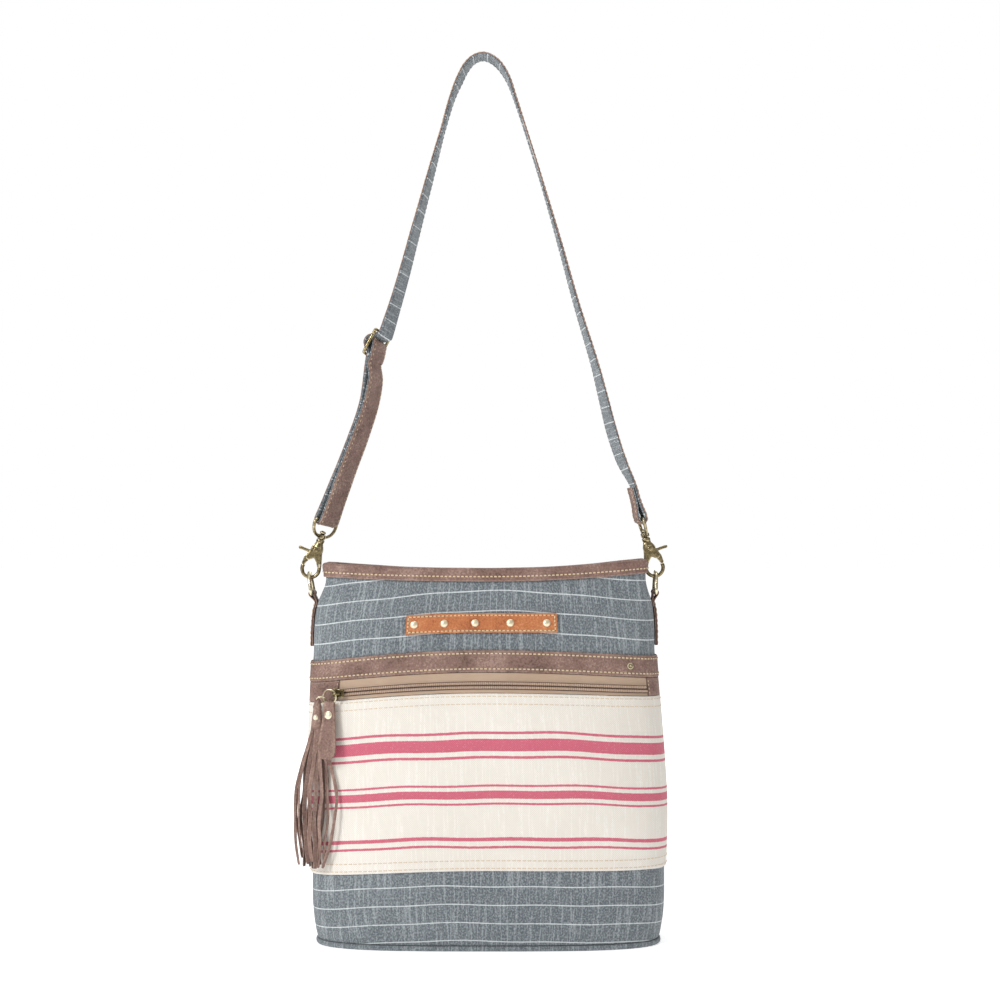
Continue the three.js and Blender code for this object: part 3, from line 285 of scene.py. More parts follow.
def piece_from(name, points, faces, uvs=None, marks=None):
    """A smooth mesh object from millimetre points and faces, with a UV corner for each face corner."""
    mesh = bpy.data.meshes.new(name)
    mesh.from_pydata((np.asarray(points) * mm).tolist(), [], faces)
    if uvs is not None:
        layer = mesh.uv_layers.new(name="cloth")
        layer.data.foreach_set("uv", (np.asarray(uvs, np.float32) * mm).ravel())
    if marks is not None:
        # This mark carries both rubbed wear and painted shade: leather paints shade where it is below zero, and threads
        # paint the shade of their holes where it is high.
        layer = mesh.attributes.new("wear_and_shade", "FLOAT", "POINT")
        layer.data.foreach_set("value", np.asarray(marks, np.float32))
    mesh.validate()
    mesh.update()
    piece = bpy.data.objects.new(name, mesh)
    bpy.context.scene.collection.objects.link(piece)
    mesh.polygons.foreach_set("use_smooth", [True] * len(mesh.polygons))
    return piece


def volume_of(points, faces):
    p = np.asarray(points, float)
    quads = np.array([f for f in faces if len(f) == 4])
    total = 0.0
    for a, b, c in ((0, 1, 2), (0, 2, 3)):
        total += np.einsum("ij,ij->i", p[quads[:, a]], np.cross(p[quads[:, b]], p[quads[:, c]])).sum()
    return total


def first_again(table):
    """A table of UVs with its first column once more at the end, to close the way round."""
    return np.concatenate([table, table[:, :1]], axis=1)


def loft(name, rings, uvs, closed=False, marks=None):
    """A surface from rings of points, with a face over each end unless the rings go round.
    uvs has one more column than the rings, for the way round."""
    rings, uvs = np.asarray(rings, float), np.asarray(uvs, float)
    n, m = rings.shape[:2]
    ii, jj = np.meshgrid(np.arange(n if closed else n - 1), np.arange(m), indexing="ij")
    ni, nj, up = (ii + 1) % n, (jj + 1) % m, ii + 1
    quads = np.stack([ii * m + jj, ii * m + nj, ni * m + nj, ni * m + jj], axis=-1).reshape(-1, 4)
    corners = np.stack([uvs[ii, jj], uvs[ii, jj + 1], uvs[up, jj + 1], uvs[up, jj]], axis=-2)
    corners = corners.reshape(-1, 4, 2)
    points = rings.reshape(-1, 3)
    if volume_of(points - points.mean(0), quads) < 0:
        quads, corners = quads[:, ::-1], corners[:, ::-1]
    faces, corners = quads.tolist(), corners.reshape(-1, 2)
    if not closed:
        faces += [list(range(m))[::-1], list(range((n - 1) * m, n * m))]
        corners = np.concatenate([corners, uvs[0, :m][::-1], uvs[-1, :m]])
    return piece_from(name, points, faces, corners, marks=marks)


half_way = float(run_along(wall.at(wall.shares[wall.shares <= 0.5], bag_height / 2))[-1])


def way_round(share):
    """Millimetres round the body at half its height, from the middle of the front."""
    return (share - 0.25) * 2 * half_way


def covering(name, start, stop, low, high, inner, outer, columns, rows, edge=0.4, back_rows=3):
    """A layer that follows the wall between two shares and two edges, with rounded edges."""
    shares = np.linspace(start, stop, columns + 1)
    # share of the way up, distance in from the edge, distance out from the wall
    turn = [(0, inner), (0, outer - edge), (0.3 * edge, outer - 0.3 * edge), (edge, outer)]
    profile = [(0, rise, out) for rise, out in turn]
    profile += [(v, 0, outer) for v in np.linspace(0, 1, rows + 1)[1:-1]]
    profile += [(1, -rise, out) for rise, out in reversed(turn)]
    profile += [(v, 0, inner) for v in np.linspace(1, 0, back_rows + 2)[1:-1]]
    share_up, rise, out = np.array(profile).T
    bottom, top = low(shares)[:, None], high(shares)[:, None]
    heights = bottom + (top - bottom) * share_up + rise
    rings = wall.at(shares[:, None], heights, out)
    u = np.broadcast_to(way_round(shares)[:, None], heights.shape)
    uv = first_again(np.stack([u, cloth_up(shares[:, None], heights)], axis=-1))
    # Marks near the edges: rubbed wear on leather, and painted shade along the edges of the zip's cord.
    near_low = np.exp(-np.abs(heights - bottom) / 1.6)
    near_high = np.exp(-np.abs(top - heights) / 1.6)
    return loft(name, rings, uv, marks=np.maximum(near_low, near_high).ravel())


def finish_with(piece, material, body="bag", nodes=()):
    """Gives a piece its material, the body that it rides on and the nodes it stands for."""
    piece.data.materials.clear()
    piece.data.materials.append(material)
    if nodes:
        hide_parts(*nodes)
    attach(piece, body)
    return piece


# Shader groups, used by several materials

def group(name, inputs, outputs):
    tree = bpy.data.node_groups.new(name, "ShaderNodeTree")
    for label, kind, value in inputs:
        socket = tree.interface.new_socket(name=label, in_out="INPUT", socket_type=kind)
        if value is not None:
            socket.default_value = value
    for label, kind in outputs:
        tree.interface.new_socket(name=label, in_out="OUTPUT", socket_type=kind)
    return tree, tree.nodes.new("NodeGroupInput").outputs, tree.nodes.new("NodeGroupOutput").inputs


class Graph:
    """Short ways to add the nodes that the materials use."""

    def __init__(self, tree):
        self.tree = tree

    def plug(self, socket, value):
        if isinstance(value, bpy.types.NodeSocket):
            self.tree.links.new(value, socket)
        else:
            socket.default_value = value

    def math(self, operation, a, b=0.0, c=0.0, clamp=False):
        node = self.tree.nodes.new("ShaderNodeMath")
        node.operation = operation
        node.use_clamp = clamp
        for socket, value in zip(node.inputs, (a, b, c)):
            self.plug(socket, value)
        return node.outputs[0]

    def ramp(self, value, low, high, to_low=0.0, to_high=1.0):
        node = self.tree.nodes.new("ShaderNodeMapRange")
        node.interpolation_type = "SMOOTHSTEP"
        for socket, entry in zip(node.inputs, (value, low, high, to_low, to_high)):
            self.plug(socket, entry)
        return node.outputs[0]

    def mix(self, factor, a, b, blend="MIX"):
        node = self.tree.nodes.new("ShaderNodeMix")
        node.data_type = "RGBA"
        node.blend_type = blend
        self.plug(node.inputs["Factor"], factor)
        self.plug(node.inputs["A"], a)
        self.plug(node.inputs["B"], b)
        return node.outputs["Result"]

    def noise(self, vector, scale, detail=2.0, rough=0.5):
        node = self.tree.nodes.new("ShaderNodeTexNoise")
        self.plug(node.inputs["Vector"], vector)
        self.plug(node.inputs["Scale"], scale)
        self.plug(node.inputs["Detail"], detail)
        self.plug(node.inputs["Roughness"], rough)
        return node.outputs["Fac"]

    def voronoi(self, vector, scale):
        node = self.tree.nodes.new("ShaderNodeTexVoronoi")
        self.plug(node.inputs["Vector"], vector)
        self.plug(node.inputs["Scale"], scale)
        return node.outputs["Distance"]

    def scaled(self, vector, x, y, z=1.0):
        node = self.tree.nodes.new("ShaderNodeVectorMath")
        node.operation = "MULTIPLY"
        self.plug(node.inputs[0], vector)
        node.inputs[1].default_value = (x, y, z)
        return node.outputs[0]

    def split(self, vector):
        node = self.tree.nodes.new("ShaderNodeSeparateXYZ")
        self.plug(node.inputs[0], vector)
        return node.outputs

    def call(self, tree, **values):
        node = self.tree.nodes.new("ShaderNodeGroup")
        node.node_tree = tree
        for label, value in values.items():
            self.plug(node.inputs[label.replace("_", " ")], value)
        return node.outputs


def weave_group():
    """A plain weave on UVs in metres: height of the threads, and slubs along the warp."""
    tree, inputs, outputs = group(
        "plain weave",
        [("Cloth", "NodeSocketVector", None), ("Thread", "NodeSocketFloat", 0.0006),
         ("Slub", "NodeSocketFloat", 1.0)],
        [("Threads", "NodeSocketFloat"), ("Slubs", "NodeSocketFloat"), ("Mottle", "NodeSocketFloat")],
    )
    g = Graph(tree)
    wobble = g.noise(inputs["Cloth"], 260.0, 1.0)
    x, y, _ = g.split(inputs["Cloth"])
    x = g.math("MULTIPLY_ADD", wobble, 0.00025, x)
    y = g.math("MULTIPLY_ADD", wobble, 0.00025, y)
    turns = g.math("DIVIDE", math.pi, inputs["Thread"])
    over = g.math("SINE", g.math("MULTIPLY", x, turns))
    under = g.math("SINE", g.math("MULTIPLY", y, turns))
    threads = g.math("MULTIPLY_ADD", g.math("MULTIPLY", over, under), 0.5, 0.5)
    warp = g.noise(g.scaled(inputs["Cloth"], 520.0, 26.0, 1.0), 1.0, 2.0, 0.6)
    weft = g.noise(g.scaled(inputs["Cloth"], 50.0, 900.0, 1.0), 1.0, 2.0, 0.6)
    speck = g.noise(g.scaled(inputs["Cloth"], 900.0, 420.0, 1.0), 1.0, 1.0, 0.7)
    slubs = g.math("ADD", g.ramp(warp, 0.5, 0.64), g.math("MULTIPLY", g.ramp(weft, 0.5, 0.75), 0.3))
    slubs = g.math("MULTIPLY", slubs, g.ramp(speck, 0.32, 0.56))
    tree.links.new(threads, outputs["Threads"])
    tree.links.new(g.math("MULTIPLY", slubs, inputs["Slub"], clamp=True), outputs["Slubs"])
    tree.links.new(g.noise(inputs["Cloth"], 9.0, 4.0, 0.6), outputs["Mottle"])
    return tree


def grain_group():
    """Leather: pebbled grain with fine creases, broad shading, and a worn mask near edges."""
    tree, inputs, outputs = group(
        "leather grain",
        [("Place", "NodeSocketVector", None), ("Grain", "NodeSocketFloat", 900.0),
         ("Worn", "NodeSocketFloat", 0.0)],
        [("Relief", "NodeSocketFloat"), ("Shade", "NodeSocketFloat"), ("Rubbed", "NodeSocketFloat")],
    )
    g = Graph(tree)
    cells = g.voronoi(inputs["Place"], inputs["Grain"])
    fine = g.noise(inputs["Place"], 1600.0, 3.0, 0.6)
    creases = g.noise(inputs["Place"], 170.0, 4.0, 0.65)
    crease_lines = g.ramp(g.math("ABSOLUTE", g.math("SUBTRACT", creases, 0.5)), 0.0, 0.035)
    pebbles = g.math("MULTIPLY", g.ramp(cells, 0.15, 0.75), -0.45)
    relief = g.math("ADD", pebbles, g.math("MULTIPLY", fine, 0.4))
    relief = g.math("MULTIPLY_ADD", crease_lines, 0.4, relief)
    broad = g.math("MULTIPLY", g.noise(inputs["Place"], 34.0, 5.0, 0.62), 0.55)
    shade = g.math("MULTIPLY_ADD", g.noise(inputs["Place"], 520.0, 3.0, 0.65), 0.45, broad)
    rubbed = g.math("MULTIPLY", inputs["Worn"], g.ramp(g.noise(inputs["Place"], 380.0, 3.0, 0.6), 0.3, 0.75))
    tree.links.new(relief, outputs["Relief"])
    tree.links.new(shade, outputs["Shade"])
    tree.links.new(rubbed, outputs["Rubbed"])
    return tree


def wear_group():
    """Metal: rubbed edges, dark in the hollows, and a cloudy patina."""
    tree, inputs, outputs = group(
        "metal wear",
        [("Place", "NodeSocketVector", None), ("Pointed", "NodeSocketFloat", 0.5)],
        [("Rubbed", "NodeSocketFloat"), ("Hollow", "NodeSocketFloat"), ("Cloud", "NodeSocketFloat")],
    )
    g = Graph(tree)
    cloud = g.noise(inputs["Place"], 420.0, 4.0, 0.65)
    fine = g.noise(inputs["Place"], 2600.0, 2.0, 0.6)
    edge = g.math("MULTIPLY_ADD", cloud, 0.05, inputs["Pointed"])
    tree.links.new(g.ramp(edge, 0.535, 0.58), outputs["Rubbed"])
    tree.links.new(g.ramp(edge, 0.525, 0.47), outputs["Hollow"])
    tree.links.new(g.math("MULTIPLY_ADD", fine, 0.35, g.math("MULTIPLY", cloud, 0.65)), outputs["Cloud"])
    return tree


weave, grain, wear = weave_group(), grain_group(), wear_group()


# Materials

def linear(red, green, blue):
    """A colour as read from the screen, 0 to 255, for the shader."""
    def channel(value):
        value /= 255
        return value / 12.92 if value <= 0.04045 else ((value + 0.055) / 1.055) ** 2.4
    return (channel(red), channel(green), channel(blue), 1.0)


class Finish:
    """A material with one Principled shader, and the graph that feeds it."""

    def __init__(self, name, roughness, metallic=0.0, sheen=0.0, specular=0.5):
        self.material = bpy.data.materials.new(name)
        self.material.use_nodes = True
        tree = self.material.node_tree
        self.graph = Graph(tree)
        self.shader = tree.nodes["Principled BSDF"]
        self.shader.inputs["Roughness"].default_value = roughness
        self.shader.inputs["Metallic"].default_value = metallic
        self.shader.inputs["Specular IOR Level"].default_value = specular
        self.shader.inputs["Sheen Weight"].default_value = sheen
        self.shader.inputs["Sheen Roughness"].default_value = 0.5
        self.coordinates = tree.nodes.new("ShaderNodeTexCoord").outputs

    def cloth(self):
        node = self.graph.tree.nodes.new("ShaderNodeUVMap")
        node.uv_map = "cloth"
        return node.outputs[0]

    def mark(self, name):
        node = self.graph.tree.nodes.new("ShaderNodeAttribute")
        node.attribute_name = name
        return node.outputs["Fac"]

    def bump(self, height, distance, strength):
        node = self.graph.tree.nodes.new("ShaderNodeBump")
        node.inputs["Strength"].default_value = strength
        node.inputs["Distance"].default_value = distance
        self.graph.plug(node.inputs["Height"], height)
        return node.outputs[0]

    def wear(self, colour, roughness=None, normal=None):
        for label, value in (("Base Color", colour), ("Roughness", roughness), ("Normal", normal)):
            if value is not None:
                self.graph.plug(self.shader.inputs[label], value)
        return self.material


def canvas_finish(name, stripe_along="y", pitch=stripe_pitch * mm):
    """Blue-grey slubby canvas with broken white pinstripes, one stripe each pitch."""
    f = Finish(name, 0.92, sheen=0.2, specular=0.2)
    g = f.graph
    cloth = f.cloth()
    threads, slubs, mottle = g.call(weave, Cloth=cloth, Thread=0.00055, Slub=1.0)
    x, y, _ = g.split(cloth)
    across = y if stripe_along == "y" else x
    place = g.math("DIVIDE", across, pitch)
    near = g.math("ABSOLUTE", g.math("SUBTRACT", g.math("FRACT", g.math("ADD", place, 0.5)), 0.5))
    wander = g.noise(cloth, 90.0, 3.0)
    far = g.math("MULTIPLY_ADD", g.math("SUBTRACT", wander, 0.5), 0.016, near)
    line = g.ramp(far, 0.036, 0.020)
    breaks = g.noise(g.scaled(cloth, 700.0, 160.0), 1.0, 2.0, 0.7)
    line = g.math("MULTIPLY", line, g.ramp(breaks, 0.3, 0.52, 0.5, 1.0))
    heather = g.noise(g.scaled(cloth, 760.0, 560.0), 1.0, 1.0, 0.6)
    shade = g.mix(g.ramp(mottle, 0.3, 0.72), linear(107, 114, 119), linear(122, 129, 133))
    shade = g.mix(g.ramp(heather, 0.55, 0.36, 0.0, 0.5), shade, linear(72, 80, 87))
    shade = g.mix(g.ramp(heather, 0.5, 0.66, 0.0, 0.36), shade, linear(186, 193, 196))
    shade = g.mix(g.math("MULTIPLY", threads, 0.15), shade, linear(84, 92, 99))
    shade = g.mix(g.math("MULTIPLY", slubs, 0.52), shade, linear(184, 191, 194))
    colour = g.mix(g.math("MULTIPLY", line, 0.85), shade, linear(222, 228, 229))
    height = g.math("ADD", threads, g.math("MULTIPLY", g.math("ADD", slubs, line), 0.5))
    return f.wear(colour, None, f.bump(height, 0.0002, 0.8))


def cream_finish():
    """Undyed heavy canvas with a visible basket weave, and the faint lines of a print rubbed away in places."""
    # from and to of each printed stripe, as on a grain sack, in millimetres of cloth height
    print_rows = ((152, 154.2), (158, 168), (171.8, 174), (114.5, 116.3), (119.5, 126), (129.2, 131),
                  (79, 81), (85, 88))
    f = Finish("natural canvas", 0.95, sheen=0.2, specular=0.2)
    g = f.graph
    cloth = f.cloth()
    threads, slubs, mottle = g.call(weave, Cloth=cloth, Thread=0.00088, Slub=0.8)
    shade = g.mix(g.ramp(mottle, 0.3, 0.75), linear(236, 231, 223), linear(246, 242, 235))
    shade = g.mix(g.math("MULTIPLY", threads, 0.6), shade, linear(206, 196, 181))
    shade = g.mix(g.math("MULTIPLY", slubs, 0.4), shade, linear(253, 251, 246))
    _, y, _ = g.split(cloth)
    ink = None
    for low, high in print_rows:
        rough = g.math("MULTIPLY", g.math("SUBTRACT", g.noise(cloth, 300.0, 3.0, 0.7), 0.5), 0.0008)
        at = g.math("ADD", y, rough)
        band = g.math("MULTIPLY", g.ramp(at, low * mm - 0.0002, low * mm + 0.0002),
                      g.ramp(at, high * mm + 0.0002, high * mm - 0.0002))
        ink = band if ink is None else g.math("MAXIMUM", ink, band)
    worn_print = g.ramp(g.noise(cloth, 900.0, 3.0, 0.75), 0.28, 0.44, 0.5, 1.0)
    ink = g.math("MULTIPLY", ink, g.math("MULTIPLY", worn_print, g.ramp(threads, 1.0, 0.2, 0.85, 1.0)))
    colour = g.mix(g.math("MULTIPLY", ink, 0.95), shade, linear(200, 72, 104))
    height = g.math("ADD", threads, g.math("MULTIPLY", slubs, 0.5))
    return f.wear(colour, None, f.bump(height, 0.0003, 0.8))


def leather_finish(name, dark, base, light, rubbed, roughness):
    """Pebbled leather that is darker in its grain, paler where it stands up, and rubbed along its edges.
    A mark below zero is painted shade: leather that lies deep among other strips is painted dark."""
    f = Finish(name, roughness, specular=0.4)
    g = f.graph
    wear_and_shade = f.mark("wear_and_shade")
    relief, shade, bare = g.call(grain, Place=f.cloth(), Grain=850.0, Worn=wear_and_shade)
    colour = g.mix(g.ramp(shade, 0.36, 0.5), dark, base)
    colour = g.mix(g.ramp(shade, 0.5, 0.62), colour, light)
    colour = g.mix(g.math("MULTIPLY", bare, 0.7), colour, rubbed)
    # Painted shade: marks below zero darken the colour towards a near-black brown, for strips deep among others.
    colour = g.mix(g.ramp(wear_and_shade, 0.0, -1.0, 0.0, 0.85), colour, tuple(v * 0.45 for v in dark[:3]) + (1.0,))
    rough = g.ramp(shade, 0.3, 0.7, roughness + 0.1, roughness - 0.1)
    return f.wear(colour, rough, f.bump(relief, 0.0004, 0.8))


def tape_finish():
    f = Finish("zip tape weave", 0.85, sheen=0.2, specular=0.3)
    g = f.graph
    cloth = f.cloth()
    threads, slubs, mottle = g.call(weave, Cloth=cloth, Thread=0.00045, Slub=0.3)
    _, y, _ = g.split(cloth)
    ribs = g.math("SINE", g.math("MULTIPLY", y, 2 * math.pi / 0.0011))
    shade = g.mix(g.ramp(mottle, 0.3, 0.7), linear(184, 159, 137), linear(200, 176, 154))
    shade = g.mix(g.math("MULTIPLY", threads, 0.4), shade, linear(164, 136, 114))
    height = g.math("MULTIPLY_ADD", ribs, 0.5, threads)
    return f.wear(shade, None, f.bump(height, 0.00018, 0.7))


def metal_finish(name, dark, base, bright, roughness, pitted):
    f = Finish(name, roughness, metallic=1.0)
    g = f.graph
    pointed = g.tree.nodes.new("ShaderNodeNewGeometry").outputs["Pointiness"]
    rubbed, hollow, cloud = g.call(wear, Place=f.coordinates["Object"], Pointed=pointed)
    colour = g.mix(g.ramp(cloud, 0.35, 0.65), dark, base)
    colour = g.mix(g.math("MULTIPLY", rubbed, 0.85), colour, bright)
    colour = g.mix(g.math("MULTIPLY", hollow, 0.85), colour, tuple(v * 0.25 for v in dark[:3]) + (1.0,))
    rough = g.ramp(cloud, 0.3, 0.7, roughness + 0.12, roughness - 0.06)
    return f.wear(colour, rough, f.bump(cloud, 0.00008, pitted))


def thread_finish(name, colour, shade, hole_shade):
    """Twisted thread, with painted shade where its ends go down into their holes."""
    f = Finish(name, 0.8, sheen=0.2, specular=0.3)
    g = f.graph
    twist = g.noise(f.coordinates["Object"], 1800.0, 2.0)
    thread = g.mix(g.ramp(twist, 0.35, 0.65), colour, shade)
    thread = g.mix(g.ramp(f.mark("wear_and_shade"), 0.35, 0.85), thread, hole_shade)
    return f.wear(thread, None, f.bump(twist, 0.0001, 0.6))


floor_wide, floor_glow_near, floor_glow_far = 16, 0.46, 0.64
surround_low, surround_high = 0.16, 0.52


def floor_finish():
    """White studio floor with painted light: it glows a little, as a light table does, and less near the bag, a painted
    shade that keeps the bag's shadow.
    """
    f = Finish("studio floor", 0.95, specular=0.0)
    f.shader.inputs["Emission Strength"].default_value = 1.0
    g = f.graph
    x, y, _ = g.split(f.coordinates["Object"])
    away = g.math("SQRT", g.math("ADD", g.math("MULTIPLY", x, x), g.math("MULTIPLY", y, y)))
    g.plug(f.shader.inputs["Emission Color"], g.ramp(away, 0.3, 1.6, floor_glow_near, floor_glow_far))
    fibre = g.noise(f.coordinates["Object"], 40.0, 2.0)
    return f.wear(g.mix(fibre, (0.9, 0.9, 0.9, 1), (0.92, 0.92, 0.92, 1)))


canvas = canvas_finish("pinstriped canvas")
strap_canvas_finish = canvas_finish("strap canvas", "x", strap_stripe_pitch * mm)
cream = cream_finish()
brown = leather_finish("brown leather", linear(96, 72, 63), linear(132, 104, 94), linear(164, 136, 124),
                       linear(186, 158, 142), 0.62)
tan = leather_finish("tan leather", linear(148, 80, 42), linear(186, 112, 66), linear(208, 138, 92),
                     linear(222, 162, 116), 0.5)
tape = tape_finish()
# The last colour of each thread is painted shade, at the ends that go down into holes.
coil = thread_finish("zip coil", linear(204, 178, 156), linear(180, 152, 130), linear(104, 82, 72))
# The cord under the coil is partly painted shade: its dark colour makes the shadow lines along the teeth.
cord_and_shade = thread_finish("coil cord", linear(96, 74, 64), linear(78, 60, 52), linear(70, 52, 46))
brass = metal_finish("antique brass", linear(98, 86, 62), linear(172, 156, 116), linear(252, 242, 210),
                     0.27, 0.5)
dark_brass = metal_finish("darkened brass", linear(58, 50, 36), linear(104, 92, 62), linear(224, 208, 156),
                          0.36, 0.6)
pale_brass = metal_finish("pale brass", linear(232, 218, 182), linear(244, 234, 206), linear(252, 246, 228),
                          0.42, 0.0)
tan_thread = thread_finish("tan thread", linear(230, 210, 178), linear(206, 180, 144), linear(70, 50, 43))
cream_thread = thread_finish("cream thread", linear(230, 212, 184), linear(206, 182, 148),
                             linear(178, 150, 120))
tab_thread = thread_finish("tab thread", linear(232, 208, 168), linear(204, 172, 128), linear(104, 58, 32))
strap_thread = thread_finish("strap thread", linear(150, 146, 138), linear(122, 122, 120), linear(78, 82, 86))


# Cloth walls and the base

def level(height):
    return lambda share: np.full_like(np.asarray(share, float), height)


def line(name, shift=0.0):
    return lambda share: edge_height(name, share) + shift


wall_low = base_thick + gap
wall_top = line("rim_top", -(binding_thick + binding_gap))

front = covering("front_canvas", 0.0003, 0.4997, level(wall_low), wall_top, -canvas_wall, 0, 190, 150,
                 edge=0.6, back_rows=60)
finish_with(front, canvas, nodes=("front_panel",))
back = covering("back_canvas", 0.5003, 0.9997, level(wall_low), wall_top, -canvas_wall, 0, 190, 150,
                edge=0.6, back_rows=60)
finish_with(back, canvas, nodes=("back_panel",))


def make_base():
    """The flat bottom with its rolled welt, a pinched seam above it, dished in the middle."""
    shares = np.linspace(0, 1, 241)[:-1]
    profile = []
    for angle in np.linspace(-90, 90, 13):
        a = math.radians(angle)
        profile.append((2.1 + 2.1 * math.sin(a), base_proud - 1.5 + 1.5 * math.cos(a)))
    rings = []
    for up, out in profile:
        ring = wall.at(shares, 0 * shares, np.full_like(shares, out + 1.1))
        ring[:, 2] = ground + up
        rings.append(ring)
    centre = np.array([bag_x + 0.005 * bag_width, 0, 0])
    inner = []
    for share, up in ((0.9, base_thick - 0.1), (0.6, base_thick - 0.6), (0.3, base_thick - 0.8)):
        ring = centre + (rings[-1] - centre) * share
        ring[:, 2] = ground + up
        inner.append(ring)
    under = []
    for share, up in ((0.3, 0.9), (0.6, 0.7), (0.9, 0.35)):
        ring = centre + (rings[0] - centre) * share
        ring[:, 2] = ground + up
        under.append(ring)
    rings = np.array(under + rings + inner)
    cloth_below = 5
    up = first_again(rings[..., 2] - ground + cloth_below)
    u = np.broadcast_to(way_round(np.append(shares, 1.0)), up.shape)
    return loft("base_canvas", rings, np.stack([u, up], axis=-1))


finish_with(make_base(), canvas, nodes=("base_panel",))


# Leather, cream cloth and zip tape on the front

def make_binding():
    """Leather folded over the mouth all the way round, with rounded folds and turned edges."""
    shares = np.linspace(0, 1, 421)[:-1]
    top, low = edge_height("rim_top", shares), edge_height("rim_low", shares)
    proud = binding_gap + binding_thick
    far = -canvas_wall - proud
    turn = (proud - far) / 2
    centre = (proud + far) / 2
    profile = [(proud - 0.5, "low", 0), (proud - 0.1, "low", 0.25), (proud, "low", 0.7)]
    profile += [(proud, "mix", t) for t in np.linspace(0.12, 0.7, 7)]
    profile += [(centre + turn * math.cos(a), "top", math.sin(a)) for a in np.linspace(0, math.pi, 15)]
    profile += [(far, "mix", t) for t in np.linspace(0.7, 0.12, 4)]
    profile += [(far, "low", 0.6), (far + 0.3, "low", 0.1), (far + binding_thick, "low", 0)]
    profile += [(far + binding_thick, "inside", 0), (proud - binding_thick, "inside", 0)]
    profile += [(proud - binding_thick, "low", 0)]
    crown = 2.6
    ring_points, uv, marks = [], [], []
    travelled = 0.0
    previous = None
    for out, kind, value in profile:
        if kind == "low":
            height = low + value
        elif kind == "mix":
            height = low + (top - crown - low) * value / 0.82
        elif kind == "inside":
            height = top - binding_thick - 0.4
        else:
            height = top - crown + crown * value
        stitch_line = np.exp(-((height - low - 2.6) / 1.3) ** 2) * 0.28
        sink = stitch_line if kind == "mix" or kind == "low" else 0 * height
        lift = 0.25 * np.sin(shares * 92) * np.exp(-((height - top) / 6) ** 2)
        ring_points.append(wall.at(shares, height + 0.2 * lift, out - np.sign(out - centre) * sink))
        here = (out, float(height.mean()))
        travelled += 0 if previous is None else math.hypot(here[0] - previous[0], here[1] - previous[1])
        previous = here
        uv.append(np.full(len(shares) + 1, travelled))
        near_edge = 1.0 if kind == "low" else 0.0
        marks.append(np.full(len(shares), near_edge) + (0.6 * max(0.0, value - 0.6) if kind == "top" else 0))
    rings = np.array(ring_points).transpose(1, 0, 2)
    v = np.array(uv).T
    u = np.broadcast_to(way_round(np.append(shares, 1.0))[:, None], v.shape)
    table = first_again(np.stack([u, v], axis=-1))
    return loft("rim_leather", rings, table, closed=True, marks=np.array(marks).T.ravel())


finish_with(make_binding(), brown, nodes=("rim_binding",))

seam_in = 0.0006
band = covering("band_leather", seam_in, 0.5 - seam_in, line("band_low"), line("band_top"), gap,
                gap + band_thick, 240, 22, edge=0.7)
finish_with(band, brown, nodes=("pocket_band",))
pocket = covering("pocket_canvas", seam_in, 0.5 - seam_in, line("cream_low"), line("cream_top"), gap,
                  gap + cream_thick, 240, 90, edge=0.7, back_rows=30)
finish_with(pocket, cream, nodes=("cream_panel",))

zip_height = bag_height * (edges["band_low"][0] + edges["cream_top"][0]) / 2
zip_from, zip_to = share_at(zip_left, zip_height), share_at(zip_right, zip_height)
window_low, window_high = line("cream_top", gap), line("band_low", -gap)
for side, start, stop in (("left", seam_in, zip_from), ("right", zip_to, 0.5 - seam_in)):
    patch = covering(f"zip_leather_{side}", start, stop, window_low, window_high, gap, gap + patch_thick,
                     40, 12)
    finish_with(patch, brown, nodes=(f"zip_patch_{side}",))
tape_piece = covering("zip_tape_cloth", zip_from + 0.001, zip_to - 0.001, window_low, window_high, gap,
                      gap + tape_thick, 240, 14, edge=0.2)
finish_with(tape_piece, tape, nodes=("zip_tape",))

tab_height = bag_height * edges["stud_tab"][0]
tab = covering("stud_tab_leather", share_at(-tab_length / 2 - bag_x, tab_height),
               share_at(tab_length / 2 - bag_x, tab_height), line("stud_tab", -tab_tall / 2),
               line("stud_tab", tab_tall / 2), gap, gap + tab_thick, 100, 20, edge=0.7)
finish_with(tab, tan, nodes=("stud_tab",))


# The strap's route, as in the part

right_route = [
    (0.9508, 0.9394, 7), (0.8793, 0.8742, 14), (0.8167, 0.809, 15), (0.7645, 0.7374, 12), (0.7116, 0.6658, 8),
    (0.5976, 0.5364, 3), (0.4933, 0.4068, 0), (0.3778, 0.2703, -4), (0.2735, 0.155, -5), (0.2116, 0.0898, -3),
    (0.1639, 0.0449, 0), (0.108, 0.0154, 2), (0.0484, 0, 1),
]
left_route = [
    (0.0533, 0.0031, -2), (0.1005, 0.0194, -5), (0.1446, 0.0475, -6), (0.1903, 0.0844, -2),
    (0.2549, 0.1585, 0), (0.3272, 0.248, -6), (0.4247, 0.3694, -12), (0.5099, 0.477, -16), (0.5784, 0.5547, -20),
]
double_route = [
    (0.7002, 0.6927, 4.6), (0.7275, 0.749, 3.5), (0.7976, 0.8206, 3.3), (0.879, 0.8929, 3.6),
    (0.9528, 0.9586, 5),
]
slide_out, slide_down, slide_lean, slide_turn = 0.6773, 0.6199, 27.7, -26
ends = {
    "left": {"side": -0.4513, "above": 32.4, "lean": 17, "eye_turn": -34, "ring_lean": 9},
    "right": {"side": 0.434, "above": 34, "lean": 14.5, "eye_turn": 4, "ring_lean": 2},
}


def vec(*values):
    return np.array(values, float)


def unit(v):
    return v / np.linalg.norm(v)


def square(v, to):
    return unit(v - to * np.dot(v, to))


def width_at(turn):
    a = math.radians(turn)
    return vec(-math.sin(a), math.cos(a), 0)


